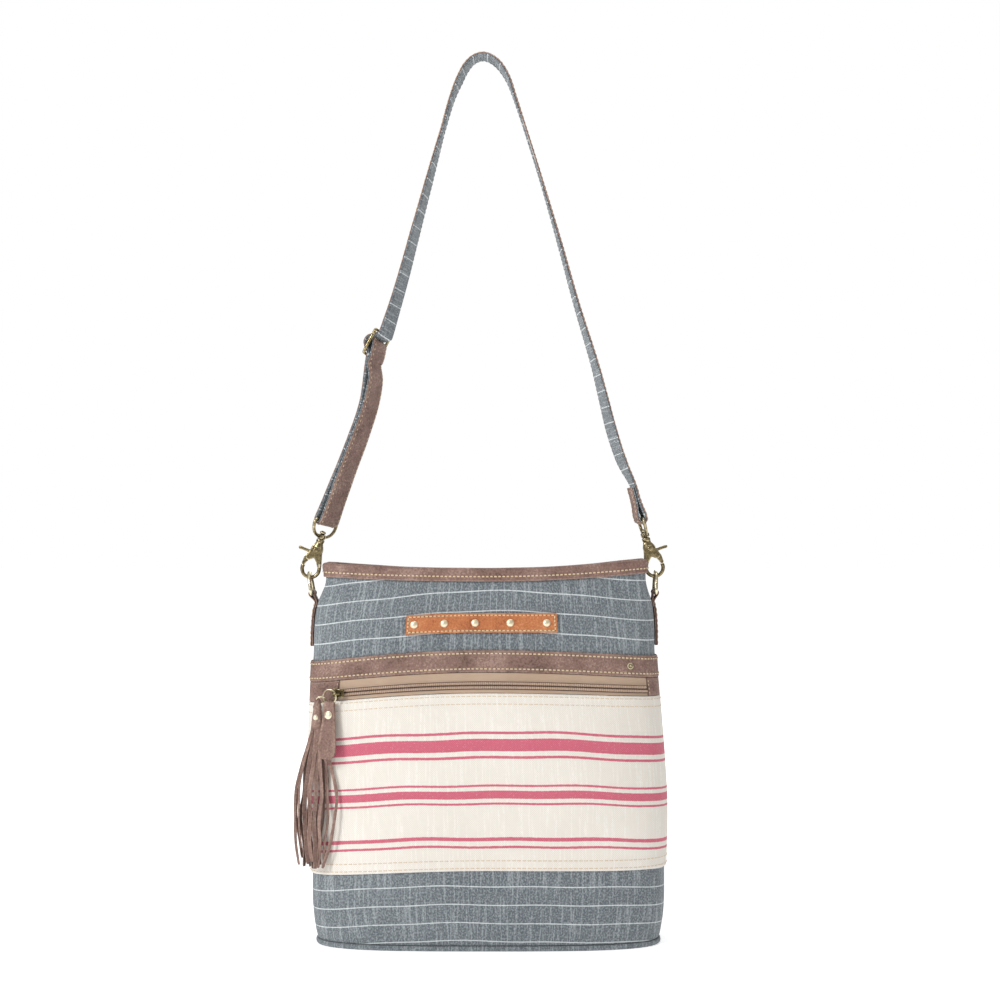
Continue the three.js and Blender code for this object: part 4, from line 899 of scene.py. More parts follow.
for end in ends.values():
    hand = math.copysign(1, end["side"])
    lean = math.radians(end["lean"])
    end["hand"] = hand
    end["up"] = vec(-hand * math.sin(lean), 0, math.cos(lean))
    end["out"] = vec(hand * math.cos(lean), 0, math.sin(lean))
    end["bar"] = vec(bag_x + end["side"] * bag_width, 0, end["above"] - strap_drop)
    end["width"] = square(width_at(end["eye_turn"]), end["up"])
left_end, right_end = ends["left"], ends["right"]


def on_route(end, out, down):
    return vec(out * end["bar"][0], 0, down * end["bar"][2])


slide_angle = math.radians(slide_lean)
slide_up = vec(math.sin(slide_angle), 0, math.cos(slide_angle))
slide_width = square(width_at(slide_turn), slide_up)
slide_aside = -unit(np.cross(slide_width, slide_up))
slide_at = on_route(left_end, slide_out, slide_down)


def strap_run():
    """Points of the strap's middle, each with the direction of its width."""
    run = []

    def step(p, width):
        run.append((p, width))

    def wrap(centre, radius, first, second, turn, steps, width):
        for i in range(steps + 1):
            a = turn * i / steps
            step(centre + radius * (math.cos(a) * first + math.sin(a) * second), width)

    eye_wrap = eye_wire / 2 + ring_clear + strap_thick / 2
    sewn = (strap_thick + layer_gap) / 2
    bar, width = right_end["bar"], right_end["width"]
    up = square(on_route(right_end, *right_route[0][:2]) - bar, width)
    out = np.cross(width, up)
    easing = [(1, 1), (0.65, 1.06), (0.38, 1.4), (0.16, eye_wrap / sewn)]
    for rise, apart in easing:
        step(bar + up * rise * tail_length - out * apart * sewn, width)
    wrap(bar, eye_wrap, -out, -up, math.pi, 6, width)
    for rise, apart in reversed(easing):
        step(bar + up * rise * tail_length + out * apart * sewn, width)
    for share_out, down, turn in right_route[1:]:
        step(on_route(right_end, share_out, down), width_at(turn))
    step(vec(0, 0, strap_thick / 2), width_at(0))
    for share_out, down, turn in left_route:
        step(on_route(left_end, share_out, down), width_at(turn))

    bar_wrap = frame_wire / 2 + ring_clear + strap_thick / 2
    over_wrap = bar_wrap + strap_thick + layer_gap
    crossing = math.asin((bar_wrap + over_wrap) / frame_reach)
    upper, lower = slide_at + slide_up * frame_reach, slide_at - slide_up * frame_reach
    inwards = -slide_aside
    wrap(upper, bar_wrap, inwards, -slide_up, crossing, 3, slide_width)
    c, s = math.cos(crossing), math.sin(crossing)
    wrap(slide_at, over_wrap, slide_aside * c + slide_up * s, slide_aside * s - slide_up * c, 2 * crossing, 6,
         slide_width)
    wrap(lower, bar_wrap, inwards * c + slide_up * s, inwards * s - slide_up * c, crossing, 3, slide_width)

    doubled = []
    for i, (share_out, down, apart) in enumerate(double_route):
        share = (i + 1) / (len(double_route) + 1)
        width = unit(slide_width * (1 - share) + left_end["width"] * share)
        before = on_route(left_end, *double_route[i - 1][:2]) if i else slide_at
        after = on_route(left_end, *double_route[i + 1][:2]) if i < len(double_route) - 1 else left_end["bar"]
        up = square(before - after, width)
        doubled.append((on_route(left_end, share_out, down), width, unit(np.cross(up, width)), apart))
    for p, width, out, apart in doubled:
        step(p + out * apart / 2, width)
    bar, width = left_end["bar"], left_end["width"]
    up = square(on_route(left_end, *double_route[-1][:2]) - bar, width)
    wrap(bar, eye_wrap, unit(np.cross(up, width)), -up, math.pi, 6, width)
    for p, width, out, apart in reversed(doubled):
        step(p - out * apart / 2, width)
    beside = bar_wrap + strap_thick + 1.4 * layer_gap
    step(lower - slide_up * frame_reach * 0.3 + inwards * beside, slide_width)
    step(lower + inwards * beside, slide_width)
    step(lower + slide_up * frame_reach * 0.5 + inwards * ((beside + bar_wrap) / 2 + layer_gap), slide_width)
    wrap(slide_at, bar_wrap, inwards, slide_up, math.pi, 6, slide_width)
    return run


def smooth_curve(points, counts):
    """A centripetal Catmull-Rom curve through the points, with places and tangents."""
    p = np.array(points)
    p = np.vstack([2 * p[0] - p[1], p, 2 * p[-1] - p[-2]])
    places, tangents, spans = [], [], []
    for i, count in enumerate(counts):
        a, b, c, d = p[i:i + 4]
        da, db, dc = (max(np.linalg.norm(v) ** 0.5, 1e-4) for v in (b - a, c - b, d - c))
        start = ((b - a) / da - (c - a) / (da + db) + (c - b) / db) * db
        stop = ((c - b) / db - (d - b) / (db + dc) + (d - c) / dc) * db
        c2 = -3 * b + 3 * c - 2 * start - stop
        c3 = 2 * b - 2 * c + start + stop
        last = i == len(counts) - 1
        for j in range(count + (1 if last else 0)):
            t = j / count
            places.append(b + start * t + c2 * t * t + c3 * t ** 3)
            tangents.append(unit(start + 2 * c2 * t + 3 * c3 * t * t))
            spans.append((i, t))
    return np.array(places), np.array(tangents), spans


def strap_frames(longest=2.2):
    run = strap_run()
    points = [p for p, _ in run]
    counts = [max(1, math.ceil(np.linalg.norm(b - a) / longest)) for a, b in zip(points, points[1:])]
    places, tangents, spans = smooth_curve(points, counts)
    widths = np.array([square(run[i][1] * (1 - t) + run[i + 1][1] * t, tangent)
                       for (i, t), tangent in zip(spans, tangents)])
    outs = np.cross(widths, tangents)
    outs /= np.linalg.norm(outs, axis=1, keepdims=True)
    return places, widths, outs, run_along(places)


strap_places, strap_widths, strap_outs, strap_along = strap_frames()


def strap_layer_mesh(name, near, far, wide, crown, roll):
    """One layer of the strap with rounded edges; crown lifts its middle, roll rounds its edges."""
    half = wide / 2
    thick = far - near
    sign = math.copysign(1, thick)
    profile = []
    for across in np.linspace(-1, 1, 15):
        edge = max(0.0, (abs(across) * half - (half - roll)) / roll)
        lift = far - sign * min(abs(thick) * 0.42, roll) * (1 - math.sqrt(max(0.0, 1 - edge ** 2)))
        profile.append((across * half, lift + crown * (1 - across ** 2)))
    profile.append((half, near + 0.3 * thick))
    profile.append((half - 0.25, near))
    profile += [(x, near) for x in (half * 0.4, -half * 0.4)]
    profile.append((-half + 0.25, near))
    profile.append((-half, near + 0.3 * thick))
    profile = np.array(profile)
    ripple = 1 + 0.012 * np.sin(strap_along / 17 + 1.3) + 0.008 * np.sin(strap_along / 6.1)
    rings = (strap_places[:, None] + strap_widths[:, None] * (profile[None, :, :1] * ripple[:, None, None])
             + strap_outs[:, None] * profile[None, :, 1:])
    uv = np.stack([np.broadcast_to(strap_along[:, None], rings.shape[:2]),
                   np.broadcast_to(profile[None, :, 0], rings.shape[:2])], axis=-1)
    near_edge = np.exp(-(half - np.abs(profile[:, 0])) / 1.2)
    marks = np.broadcast_to(near_edge[None], rings.shape[:2]).ravel()
    return loft(name, rings, first_again(uv), marks=marks)


leather_layer = strap_layer_mesh("strap_leather_layer", layer_gap / 2, layer_gap / 2 + strap_layer,
                                 strap_wide - 0.6, 0.12, 1.1)
finish_with(leather_layer, brown, nodes=("strap_leather",))
cloth_layer = strap_layer_mesh("strap_canvas_layer", -layer_gap / 2, -layer_gap / 2 - strap_layer, strap_wide,
                               -0.2, 1.4)
finish_with(cloth_layer, strap_canvas_finish, nodes=("strap_canvas",))


# Working by hand on new pieces

def only(piece):
    bpy.ops.object.select_all(action="DESELECT")
    piece.select_set(True)
    bpy.context.view_layer.objects.active = piece
    return piece


def change(piece, kind, **settings):
    """Adds a modifier and applies it."""
    only(piece)
    modifier = piece.modifiers.new(kind.title(), kind)
    for label, value in settings.items():
        setattr(modifier, label, value)
    bpy.ops.object.modifier_apply(modifier=modifier.name)
    return piece


def new_primitive(kind, at=(0, 0, 0), scale=(1, 1, 1), turn=(0, 0, 0), **settings):
    """A primitive at its place, with sizes in millimetres and turns in degrees."""
    bpy.ops.object.select_all(action="DESELECT")
    lengths = {k: v * mm if isinstance(v, float) else v for k, v in settings.items()}
    getattr(bpy.ops.mesh, f"primitive_{kind}_add")(location=[v * mm for v in at],
                                                   rotation=[math.radians(v) for v in turn], **lengths)
    piece = bpy.context.object
    piece.scale = scale
    bpy.ops.object.transform_apply(location=True, rotation=True, scale=True)
    return piece


def rod(radius, length, at=(0, 0, 0), turn=(0, 0, 0), sides=36, soft=0.0):
    piece = new_primitive("cylinder", at, turn=turn, radius=float(radius), depth=float(length),
                          vertices=sides)
    if soft:
        change(piece, "BEVEL", width=soft * mm, segments=3, limit_method="ANGLE",
               angle_limit=math.radians(50))
    return piece


def ball(radius, at=(0, 0, 0), scale=(1, 1, 1)):
    return new_primitive("uv_sphere", at, scale, radius=float(radius), segments=32, ring_count=18)


def block(size, at=(0, 0, 0), turn=(0, 0, 0), soft=0.0):
    piece = new_primitive("cube", at, size, turn, size=1.0)
    if soft:
        change(piece, "BEVEL", width=soft * mm, segments=3)
    return piece


def join(name, *pieces):
    bpy.ops.object.select_all(action="DESELECT")
    for piece in pieces:
        piece.select_set(True)
    bpy.context.view_layer.objects.active = pieces[0]
    bpy.ops.object.join()
    pieces[0].name = name
    pieces[0].data.name = name
    return pieces[0]


def cast(name, pieces, grain_size=0.3, soften=5, keep=0.4):
    """Several shapes run together as cast metal, with soft inner corners."""
    piece = join(name, *pieces)
    change(piece, "REMESH", mode="VOXEL", voxel_size=grain_size * mm, use_smooth_shade=True)
    change(piece, "SMOOTH", factor=0.5, iterations=soften)
    change(piece, "DECIMATE", ratio=keep)
    only(piece)
    bpy.ops.object.shade_smooth()
    return piece


def cut_out(piece, tool):
    change(piece, "BOOLEAN", object=tool, operation="DIFFERENCE", solver="EXACT")
    bpy.data.objects.remove(tool)
    return piece


def bent_wire(name, corners, wire, sides=4):
    """A closed wire through points, from a circle curve whose points are moved."""
    bpy.ops.object.select_all(action="DESELECT")
    bpy.ops.curve.primitive_bezier_circle_add(radius=1)
    piece = bpy.context.object
    piece.name = name
    spline = piece.data.splines[0]
    spline.bezier_points.add(len(corners) - len(spline.bezier_points))
    for point, corner in zip(spline.bezier_points, corners):
        point.co = Vector(corner) * mm
        point.handle_left_type = point.handle_right_type = "AUTO"
    piece.data.resolution_u = 8
    piece.data.bevel_depth = wire / 2 * mm
    piece.data.bevel_resolution = sides
    bpy.ops.object.convert(target="MESH")
    piece = bpy.context.object
    only(piece)
    bpy.ops.object.mode_set(mode="EDIT")
    bpy.ops.mesh.select_all(action="SELECT")
    bpy.ops.mesh.remove_doubles(threshold=1e-6)
    bpy.ops.mesh.normals_make_consistent(inside=False)
    bpy.ops.object.mode_set(mode="OBJECT")
    bpy.ops.object.shade_smooth()
    return piece


def at_frame(piece, origin, x_axis, z_axis):
    """Moves a mesh from its own frame to its place in the bag's; millimetres."""
    x, z = unit(np.array(x_axis, float)), unit(np.array(z_axis, float))
    y = np.cross(z, x)
    turn = np.stack([x, y, z], axis=1).tolist()
    place = [[*row, o * mm] for row, o in zip(turn, origin)]
    piece.data.transform(Matrix(place + [[0, 0, 0, 1]]))
    return piece


def ribbon(name, places, widths, outs, thick, half_widths, crown=0.0, hide_from=0.0, painted_shade=0.0):
    """A strip of leather along a path: places, directions of its width and of its face, and half widths.
    hide_from says where in the hide it was cut, so that no two strips have the same grain. The last argument lowers the
    mark below zero, for painted shade on strips that lie behind others."""
    profile = []
    for across in (-1, -0.94, -0.6, 0, 0.6, 0.94, 1):
        profile.append((across, 0.5 if abs(across) < 0.9 else (0.38 if abs(across) < 1 else 0.12)))
    profile += [(x, -lift) for x, lift in reversed(profile)]
    profile = np.array(profile)
    half = np.broadcast_to(half_widths, (len(places),))
    across = profile[None, :, 0] * half[:, None]
    lift = profile[None, :, 1] * thick + crown * (1 - profile[None, :, 0] ** 2)
    rings = places[:, None] + widths[:, None] * across[..., None] + outs[:, None] * lift[..., None]
    along = np.broadcast_to(run_along(places)[:, None], across.shape)
    uv = first_again(np.stack([across + hide_from, along], axis=-1))
    near_edge = np.where(np.abs(profile[:, 0]) > 0.9, 1.0, 0.0)
    # Edges are marked for rubbed wear; the whole strip is lowered for painted shade.
    marks = np.broadcast_to(near_edge[None], across.shape).ravel() - painted_shade
    return loft(name, rings, uv, marks=marks)


def curve_frames(points, widths, longest=1.0):
    """A smooth path through points, with width directions that turn along it."""
    counts = [max(1, math.ceil(np.linalg.norm(b - a) / longest)) for a, b in zip(points, points[1:])]
    places, tangents, spans = smooth_curve(points, counts)
    sideways = np.array([square(widths[i] * (1 - t) + widths[i + 1] * t, tangent)
                         for (i, t), tangent in zip(spans, tangents)])
    return places, sideways, np.cross(sideways, tangents)


# Swivel hooks, their eyes, levers and rings

post_radius, head_radius, collar_radius = 1.45, 2.7, 3.5
hub_radius, hub_tall, collar_tall = 3.6, 3.8, 3.2
turn_clear = 0.3
hook_deep, lever_deep, slot_clear = 4.8, 2, 0.3
rivet_drop, rivet_out = 26, 1.2
claw_thick = 3.2
lever_long = 14
hub_top = -eye_drop + hub_tall / 2
collar_top = -eye_drop - hub_tall / 2 - turn_clear
wire_drop = hole_drop + hole_radius - ring_seat - ring_wire / 2
claw_tip = 2 - hole_drop


def flowing(route, deep, soft=0.7):
    """Discs close together along a route of places from the rivet, with radii: a plate that flows."""
    discs = []
    for (x0, z0, r0), (x1, z1, r1) in zip(route, route[1:]):
        count = max(2, round(math.hypot(x1 - x0, z1 - z0)))
        for t in np.arange(1, count + 1) / count:
            at = (x0 + (x1 - x0) * t, 0, z0 + (z1 - z0) * t - rivet_drop)
            discs.append(rod(r0 + (r1 - r0) * t, deep, at, (90, 0, 0), soft=soft))
    return discs


def d_shape(half, side, far):
    """Corners round a D: the middle of its bar, one side, the far middle and the other side."""
    right = [(0, half * share, z) for share, z in side]
    left = [(0, -y, z) for _, y, z in reversed(right)]
    return [left[-1], (0, 0, 0), *right, (0, 0, far), *left[:-1]]


def make_eye(name):
    """The strap's loop: a flat bar on top, a round bow below it, and a bored hub for the post."""
    half = (eye_inner + eye_wire) / 2
    side = ((0.86, 0), (0.99, -1.5), (0.99, -5.2), (0.86, -9.6), (0.55, -12.9))
    bow = bent_wire(name, d_shape(half, side, -eye_drop), eye_wire)
    hub = rod(hub_radius, hub_tall, (0, 0, -eye_drop), soft=0.6)
    eye = cast(name, [bow, hub], 0.32, 4)
    return cut_out(eye, rod(post_radius + turn_clear, 3 * hub_tall, (0, 0, -eye_drop)))


def make_hook(name):
    """Post and ball, collar, a leaf-shaped body that sweeps into an open claw, and the lever's rivet."""
    collar_low = collar_top - collar_tall
    head_low = hub_top + turn_clear
    post = rod(post_radius, head_low - collar_low + 1, (0, 0, (head_low + collar_low) / 2))
    head = ball(head_radius, (0, 0, head_low + 1.3), (1, 1, 0.62))
    collar = rod(collar_radius, collar_tall, (0, 0, collar_top - collar_tall / 2), soft=0.8)
    neck = new_primitive("cone", (0.2, 0, collar_low - 1.6), (1, 0.8, 1), radius1=4.3, radius2=2.9, depth=5.0,
                         vertices=36)
    leaf = flowing(((0.2, 3.2, 4.0), (0.6, 0, 5.3), (0.8, -2.6, 4.6)), hook_deep)
    shank = flowing(((0, -1, 4.6), (-1.6, -4.5, 3.5), (-3.9, -8.8, 2.3), (-5.4, -12.8, 1.7)), hook_deep)
    cheek = flowing(((0.8, -1, 4.8), (3.2, -4.4, 3.5), (5.4, -7.4, 2.3)), hook_deep)
    middle = hole_radius + claw_thick / 2
    claw = new_primitive("torus", (hole_out, 0, -hole_drop), turn=(90, 0, 0), major_radius=float(middle),
                         minor_radius=claw_thick / 2, major_segments=64, minor_segments=16)
    claw.data.transform(Matrix.Scale(1.28, 4, (0, 1, 0)))
    mouth_wide, mouth_tall = 18.4, 12.6
    cut_out(claw, block((mouth_wide, 12, mouth_tall), (hole_out + 3.8, 0, claw_tip + mouth_tall / 2)))
    body = cast(name, [post, head, collar, neck, *leaf, *shank, *cheek, claw], 0.27, 5)
    slot_top = -rivet_drop + 5
    slot_low = claw_tip + 0.2
    slot = block((16, lever_deep + 2 * slot_clear, slot_top - slot_low), (5.2, 0, (slot_top + slot_low) / 2))
    cut_out(body, slot)
    pin = rod(1.4, hook_deep, (rivet_out, 0, -rivet_drop), (90, 0, 0))
    caps = [ball(2.3, (rivet_out, end * (hook_deep / 2 + 0.1), -rivet_drop), (1, 0.36, 1)) for end in (-1, 1)]
    return join(name, body, pin, *caps)


def make_lever(name):
    """The sprung gate: round at the rivet, a finger that shuts the claw and a thumb piece outside."""
    rim = rod(3.4, lever_deep, (rivet_out, 0, -rivet_drop), (90, 0, 0), soft=0.4)
    end_radius = 1.5
    shut = claw_tip + end_radius + rivet_drop
    finger = flowing(((rivet_out, 0, 3.4), (4.4, -4.4, 3.2), (6.9, -8.4, 2.4), (8.2, shut, end_radius)),
                     lever_deep, 0.3)
    thumb = block((lever_long - 1.4, lever_deep, 2.5),
                  (rivet_out + lever_long / 2 + 0.4, 0, -rivet_drop - 2.1), (0, -5, 0), soft=0.5)
    pad = ball(1.6, (rivet_out + lever_long - 0.6, 0, -rivet_drop - 1.7), (0.9, 0.62, 0.9))
    lever = cast(name, [rim, *finger, thumb, pad], 0.22, 3)
    return cut_out(lever, rod(1.4 + slot_clear, 3 * lever_deep, (rivet_out, 0, -rivet_drop), (90, 0, 0)))


def make_ring(name):
    half = (ring_inner + ring_wire) / 2
    side = ((0.86, 0), (0.985, 1.4), (0.97, 6), (0.74, 12.95), (0.43, 16.3))
    return bent_wire(name, d_shape(half, side, ring_rise), ring_wire, 5)


def make_side_tab(name, hand, bar):
    """A strip of leather up the side, round the ring's bar and down again outside itself."""
    share = 0.0 if hand < 0 else 0.5
    bar_height = bar[2] - ground
    fold = ring_wire / 2 + ring_clear + side_tab_leather / 2
    low, high = bar_height - side_tab_fall, bar_height - 3.0 * fold
    heights = np.linspace(low, high, 7)
    against = gap + side_tab_leather / 2
    inner = [vec(wall.at(share, h, against)[0] + hand * 0.9, 0, ground + h) for h in heights]
    outer = [p + vec(hand * (side_tab_leather + 0.06), 0, 0) for p in inner]
    turn = [bar + fold * vec(math.cos(a), 0, math.sin(a)) for a in np.radians(np.linspace(-35, 215, 9))]
    if hand > 0:
        turn = turn[::-1]
    points = inner + turn + outer[::-1]
    places, sideways, outs = curve_frames(points, [vec(0, 1, 0)] * len(points))
    if hand > 0:
        outs = -outs
    half = np.full(len(places), side_tab_wide / 2)
    return ribbon(name, places, sideways, outs, side_tab_leather, half), outer


for side, end in ends.items():
    hook_body, lever_body = f"hook_{side}", f"lever_{side}"
    eye = at_frame(make_eye(f"strap_eye_{side}"), end["bar"], np.cross(end["width"], end["up"]), end["up"])
    finish_with(eye, brass, nodes=(f"eye_{side}",))
    hook = at_frame(make_hook(f"swivel_hook_{side}"), end["bar"], end["out"], end["up"])
    finish_with(hook, brass, hook_body, (f"hook_{side}",))
    lever = at_frame(make_lever(f"gate_lever_{side}"), end["bar"], end["out"], end["up"])
    finish_with(lever, brass, lever_body, (f"lever_{side}",))
    hung = end["bar"] + end["out"] * hole_out - end["up"] * wire_drop
    ring_lean = math.radians(end["ring_lean"])
    ring_up = vec(end["hand"] * math.sin(ring_lean), 0, math.cos(ring_lean))
    end["ring_bar"] = hung - ring_up * ring_rise
    ring = at_frame(make_ring(f"d_ring_{side}"), end["ring_bar"], vec(ring_up[2], 0, -ring_up[0]), ring_up)
    finish_with(ring, brass, nodes=(f"ring_{side}",))
    side_tab, end["tab_outer"] = make_side_tab(f"side_leather_{side}", end["hand"], end["ring_bar"])
    finish_with(side_tab, brown, nodes=(f"side_tab_{side}",))


def make_slider_frame():
    half = (frame_inner + frame_wire) / 2
    y, z = half - 0.2, frame_reach
    corners = []
    for sy, sz in ((-1, 1), (1, 1), (1, -1), (-1, -1)):
        near = [(0, sy * (y - 2), sz * z), (0, sy * (y - 0.4), sz * (z - 0.5)), (0, sy * y, sz * (z - 2.2))]
        corners += near if sy * sz > 0 else near[::-1]
    frame_loop = bent_wire("slider_frame", corners, frame_wire)
    middle_bar = rod(frame_wire / 2, 2 * half - 0.6, turn=(90, 0, 0))
    return cast("slider_frame", [frame_loop, middle_bar], 0.26, 3)


slider_frame = at_frame(make_slider_frame(), slide_at, np.cross(slide_width, slide_up), slide_up)
finish_with(slider_frame, brass, nodes=("strap_slider",))


# Studs and rivets

def seat_frame(x, height, out):
    """Where something round sits on the front: its place, the way along the front and the way out."""
    share = share_at(x, height)
    outwards = wall.out_at(share, height)
    along = wall.at(share + 0.002, height) - wall.at(share - 0.002, height)
    return wall.at(share, height, out), square(along, outwards), outwards


def make_dome(name, wide, high, rim=0.0):
    """A domed head: the upper half of a ball pressed flat, with a thin turned rim where one is asked for."""
    piece = ball(wide / 2, scale=(1, 1, 2 * high / wide))
    only(piece)
    bpy.ops.object.mode_set(mode="EDIT")
    bpy.ops.mesh.select_all(action="SELECT")
    bpy.ops.mesh.bisect(plane_co=(0, 0, 0), plane_no=(0, 0, 1), clear_inner=True, use_fill=True)
    bpy.ops.object.mode_set(mode="OBJECT")
    if rim:
        lip = new_primitive("torus", (0, 0, 0.25), major_radius=wide / 2 - 0.2, minor_radius=rim,
                            major_segments=40, minor_segments=10)
        piece = join(name, piece, lip)
    piece.name = name
    only(piece)
    bpy.ops.object.shade_smooth()
    return piece


for number, share in enumerate(stud_places, 1):
    x = share * tab_length - bag_x
    height = float(edge_height("stud_tab", share_at(x, tab_height)))
    place, along, outwards = seat_frame(x, height, gap + tab_thick + 0.02)
    stud = at_frame(make_dome(f"dome_stud_{number}", stud_wide, stud_high), place, along, outwards)
    finish_with(stud, pale_brass, nodes=(f"stud_{number}",))

rivet_x = bag_width / 2 - band_rivet_in
rivet_share = share_at(rivet_x, bag_height * edges["band_top"][0])
rivet_height = float(edge_height("band_low", rivet_share) + edge_height("band_top", rivet_share)) / 2
place, along, outwards = seat_frame(rivet_x, rivet_height, gap + band_thick + 0.02)
cap = make_dome("band_rivet_cap", band_rivet_wide + 0.6, 1.1, 0.35)
button = ball(1.25, (0, 0, 1.0), (1, 1, 0.7))
rivet = at_frame(join("band_rivet_cap", cap, button), place, along, outwards)
finish_with(rivet, brass, nodes=("band_rivet",))


# The zip: teeth, slider, ring, leather pull and tassel

def coil_line(share):
    return (window_low(share) + window_high(share)) / 2 - coil_drop


coil_back = gap + tape_thick + gap
# The coil's cord, dark and wider than the teeth: its edges beyond the teeth are painted shade, the shadow lines along
# the coil.
core = covering("zip_coil_core", zip_from + 0.002, zip_to - 0.002,
                lambda share: coil_line(share) - coil_wide / 2 - 1.1,
                lambda share: coil_line(share) + coil_wide / 2 + 0.7,
                gap + tape_thick + 0.02, coil_back + 0.25, 240, 8, edge=0.3)
finish_with(core, cord_and_shade)


def capsules(name, centres, alongs, outs, length, radius, lift=0.35, sides=6):
    """Many small rounded threads in one mesh: stitches, teeth of a coil."""
    centres, alongs, outs = (np.asarray(v, float) for v in (centres, alongs, outs))
    across = np.cross(outs, alongs)
    stations = np.array([(-0.5, 0.45, -0.35), (-0.36, 0.9, 0.0), (0, 1.0, 1.0), (0.36, 0.9, 0.0),
                         (0.5, 0.45, -0.35)])
    angle = np.arange(sides) * 2 * math.pi / sides
    ring = (across[:, None, None] * np.cos(angle)[None, None, :, None]
            + outs[:, None, None] * np.sin(angle)[None, None, :, None])
    middle = (centres[:, None] + alongs[:, None] * (stations[:, 0] * length)[None, :, None]
              + outs[:, None] * (stations[:, 2] * lift * radius)[None, :, None])
    points = middle[:, :, None] + ring * (stations[:, 1] * radius)[None, :, None, None]
    count, n = len(centres), len(stations)
    faces = []
    for k in range(n - 1):
        for j in range(sides):
            a, b = k * sides + j, k * sides + (j + 1) % sides
            faces.append((a, b, b + sides, a + sides))
    quads = np.array(faces)
    first = np.arange(sides)[::-1]
    last = np.arange(sides) + (n - 1) * sides
    every = (np.arange(count) * n * sides)[:, None, None] + quads[None]
    sample = points[0].reshape(-1, 3)
    if volume_of(sample - sample.mean(0), quads) < 0:
        every, first, last = every[..., ::-1], first[::-1], last[::-1]
    caps = [(i * n * sides + end).tolist() for i in range(count) for end in (first, last)]
    # Marks at each thread's ends, where its material paints the shade of the holes.
    at_ends = np.tile(np.repeat(np.clip(np.abs(stations[:, 0]) * 3 - 0.5, 0, 1), sides), count)
    return piece_from(name, points.reshape(-1, 3), every.reshape(-1, 4).tolist() + caps, marks=at_ends)


def row_on_front(height_of, start, stop, pitch, out):
    """Even places along a line of the wall, with the way along it and the way out."""
    shares = np.linspace(start, stop, 1500)
    heights = height_of(shares)
    run = run_along(wall.at(shares, heights, out))
    count = int(run[-1] / pitch)
    at = (np.arange(count) + 0.5) * run[-1] / count
    share = np.interp(at, run, shares)
    height = height_of(share)
    centre = wall.at(share, height, out)
    step = 0.0008
    along = wall.at(share + step, height_of(share + step)) - wall.at(share - step, height_of(share - step))
    along /= np.linalg.norm(along, axis=1, keepdims=True)
    return centre, along, wall.out_at(share, height)


tooth_pitch = 1.6
teeth = []
for offset, shift in ((1.6, 0.0), (-1.6, 0.5)):
    centre, along, outwards = row_on_front(lambda s: coil_line(s) + offset, zip_from + 0.003, zip_to - 0.003,
                                           tooth_pitch, coil_back + 0.55)
    centre = centre + along * tooth_pitch * shift
    teeth.append((centre, np.cross(outwards, along), outwards))
teeth = [np.concatenate(column) for column in zip(*teeth)]
finish_with(capsules("zip_teeth", *teeth, 2.7, 0.74, 0.4), coil, nodes=("zip_coil",))

slider_from_end, slider_long, slider_tall, slider_high = 2, 9.5, 8.4, 3
arch_wire, arch_span, arch_high = 1.3, 7.8, 4
pull_ring_radius, pull_ring_wire, ring_slack = 5.8, 1.3, 0.8
tassel_ring_radius, tassel_ring_wire, tassel_ring_at, tassel_ring_turn = 3.8, 1.2, 200, 40
pull_length, pull_neck, pull_wide, pull_leather, pull_tilt = 46, 8.6, 15.6, 1.2, 7.6
cap_wide, cap_high = 6.4, 1.6
tassel_head_wide, tassel_head_tall, tassel_head_thick, tassel_neck = 10.4, 22, 6.5, 5.4
tassel_fall = 116
strand_back, strand_fore = 1.8, 1

slider_share = share_at(zip_left + slider_from_end, zip_height)
slider_height = float(coil_line(slider_share))
pull_at = wall.at(slider_share, slider_height, coil_back + coil_high + gap)
level_out = wall.at(slider_share, slider_height, 1) - wall.at(slider_share, slider_height, 0)
level_along = np.cross(vec(0, 0, 1), level_out)
ring_out = slider_high + arch_high - arch_wire / 2 - ring_clear - pull_ring_wire / 2 - ring_slack
ring_x, ring_z = -pull_ring_radius - ring_slack, -pull_ring_radius * 0.45
pull_top = ring_z - pull_ring_radius


def on_pull(piece):
    """From the zip pull's own frame, X along the front and -Y out of it, to its place."""
    return at_frame(piece, pull_at, level_along, vec(0, 0, 1))


def make_zip_slider():
    """The slider's wedge-shaped plate with raised rails, and the bridge that its ring hangs from."""
    plate_high, plate_out = slider_high - 0.8, -slider_high / 2 + 0.2
    plate = block((slider_long, plate_high, slider_tall - 2.2), (0.3, plate_out, 0), soft=0.7)
    nose = rod(slider_tall / 2 - 0.1, plate_high, (-1.6, plate_out, 0), (90, 0, 0), soft=0.6)
    rails = [block((slider_long - 1.6, 1.1, 1.1), (0.4, -slider_high + 0.2, end * (slider_tall / 2 - 1.1)),
                   (0, end * 6, 0), soft=0.3) for end in (-1, 1)]
    bridge = new_primitive("torus", (-1.2, -slider_high - arch_high + arch_span / 2, 0), major_segments=48,
                           major_radius=(arch_span - arch_wire) / 2, minor_radius=arch_wire / 2, minor_segments=12)
    bridge.data.transform(Matrix.Scale(1.5, 4, (0, 0, 1)))
    hollow = block((arch_span + 2, arch_span, 4), (-1.2, -slider_high * 0.7 + arch_span / 2, 0))
    cut_out(bridge, hollow)
    return cast("zip_slider_body", [plate, nose, *rails, bridge], 0.2, 3)


finish_with(on_pull(make_zip_slider()), dark_brass, nodes=("zip_slider",))
split_ring = new_primitive("torus", (ring_x, -ring_out, ring_z), turn=(90, 0, 0),
                           major_radius=pull_ring_radius, minor_radius=pull_ring_wire / 2,
                           major_segments=64, minor_segments=16)
split_ring.name = "split_ring"
only(split_ring)
bpy.ops.object.shade_smooth()
finish_with(on_pull(split_ring), brass, nodes=("pull_ring",))


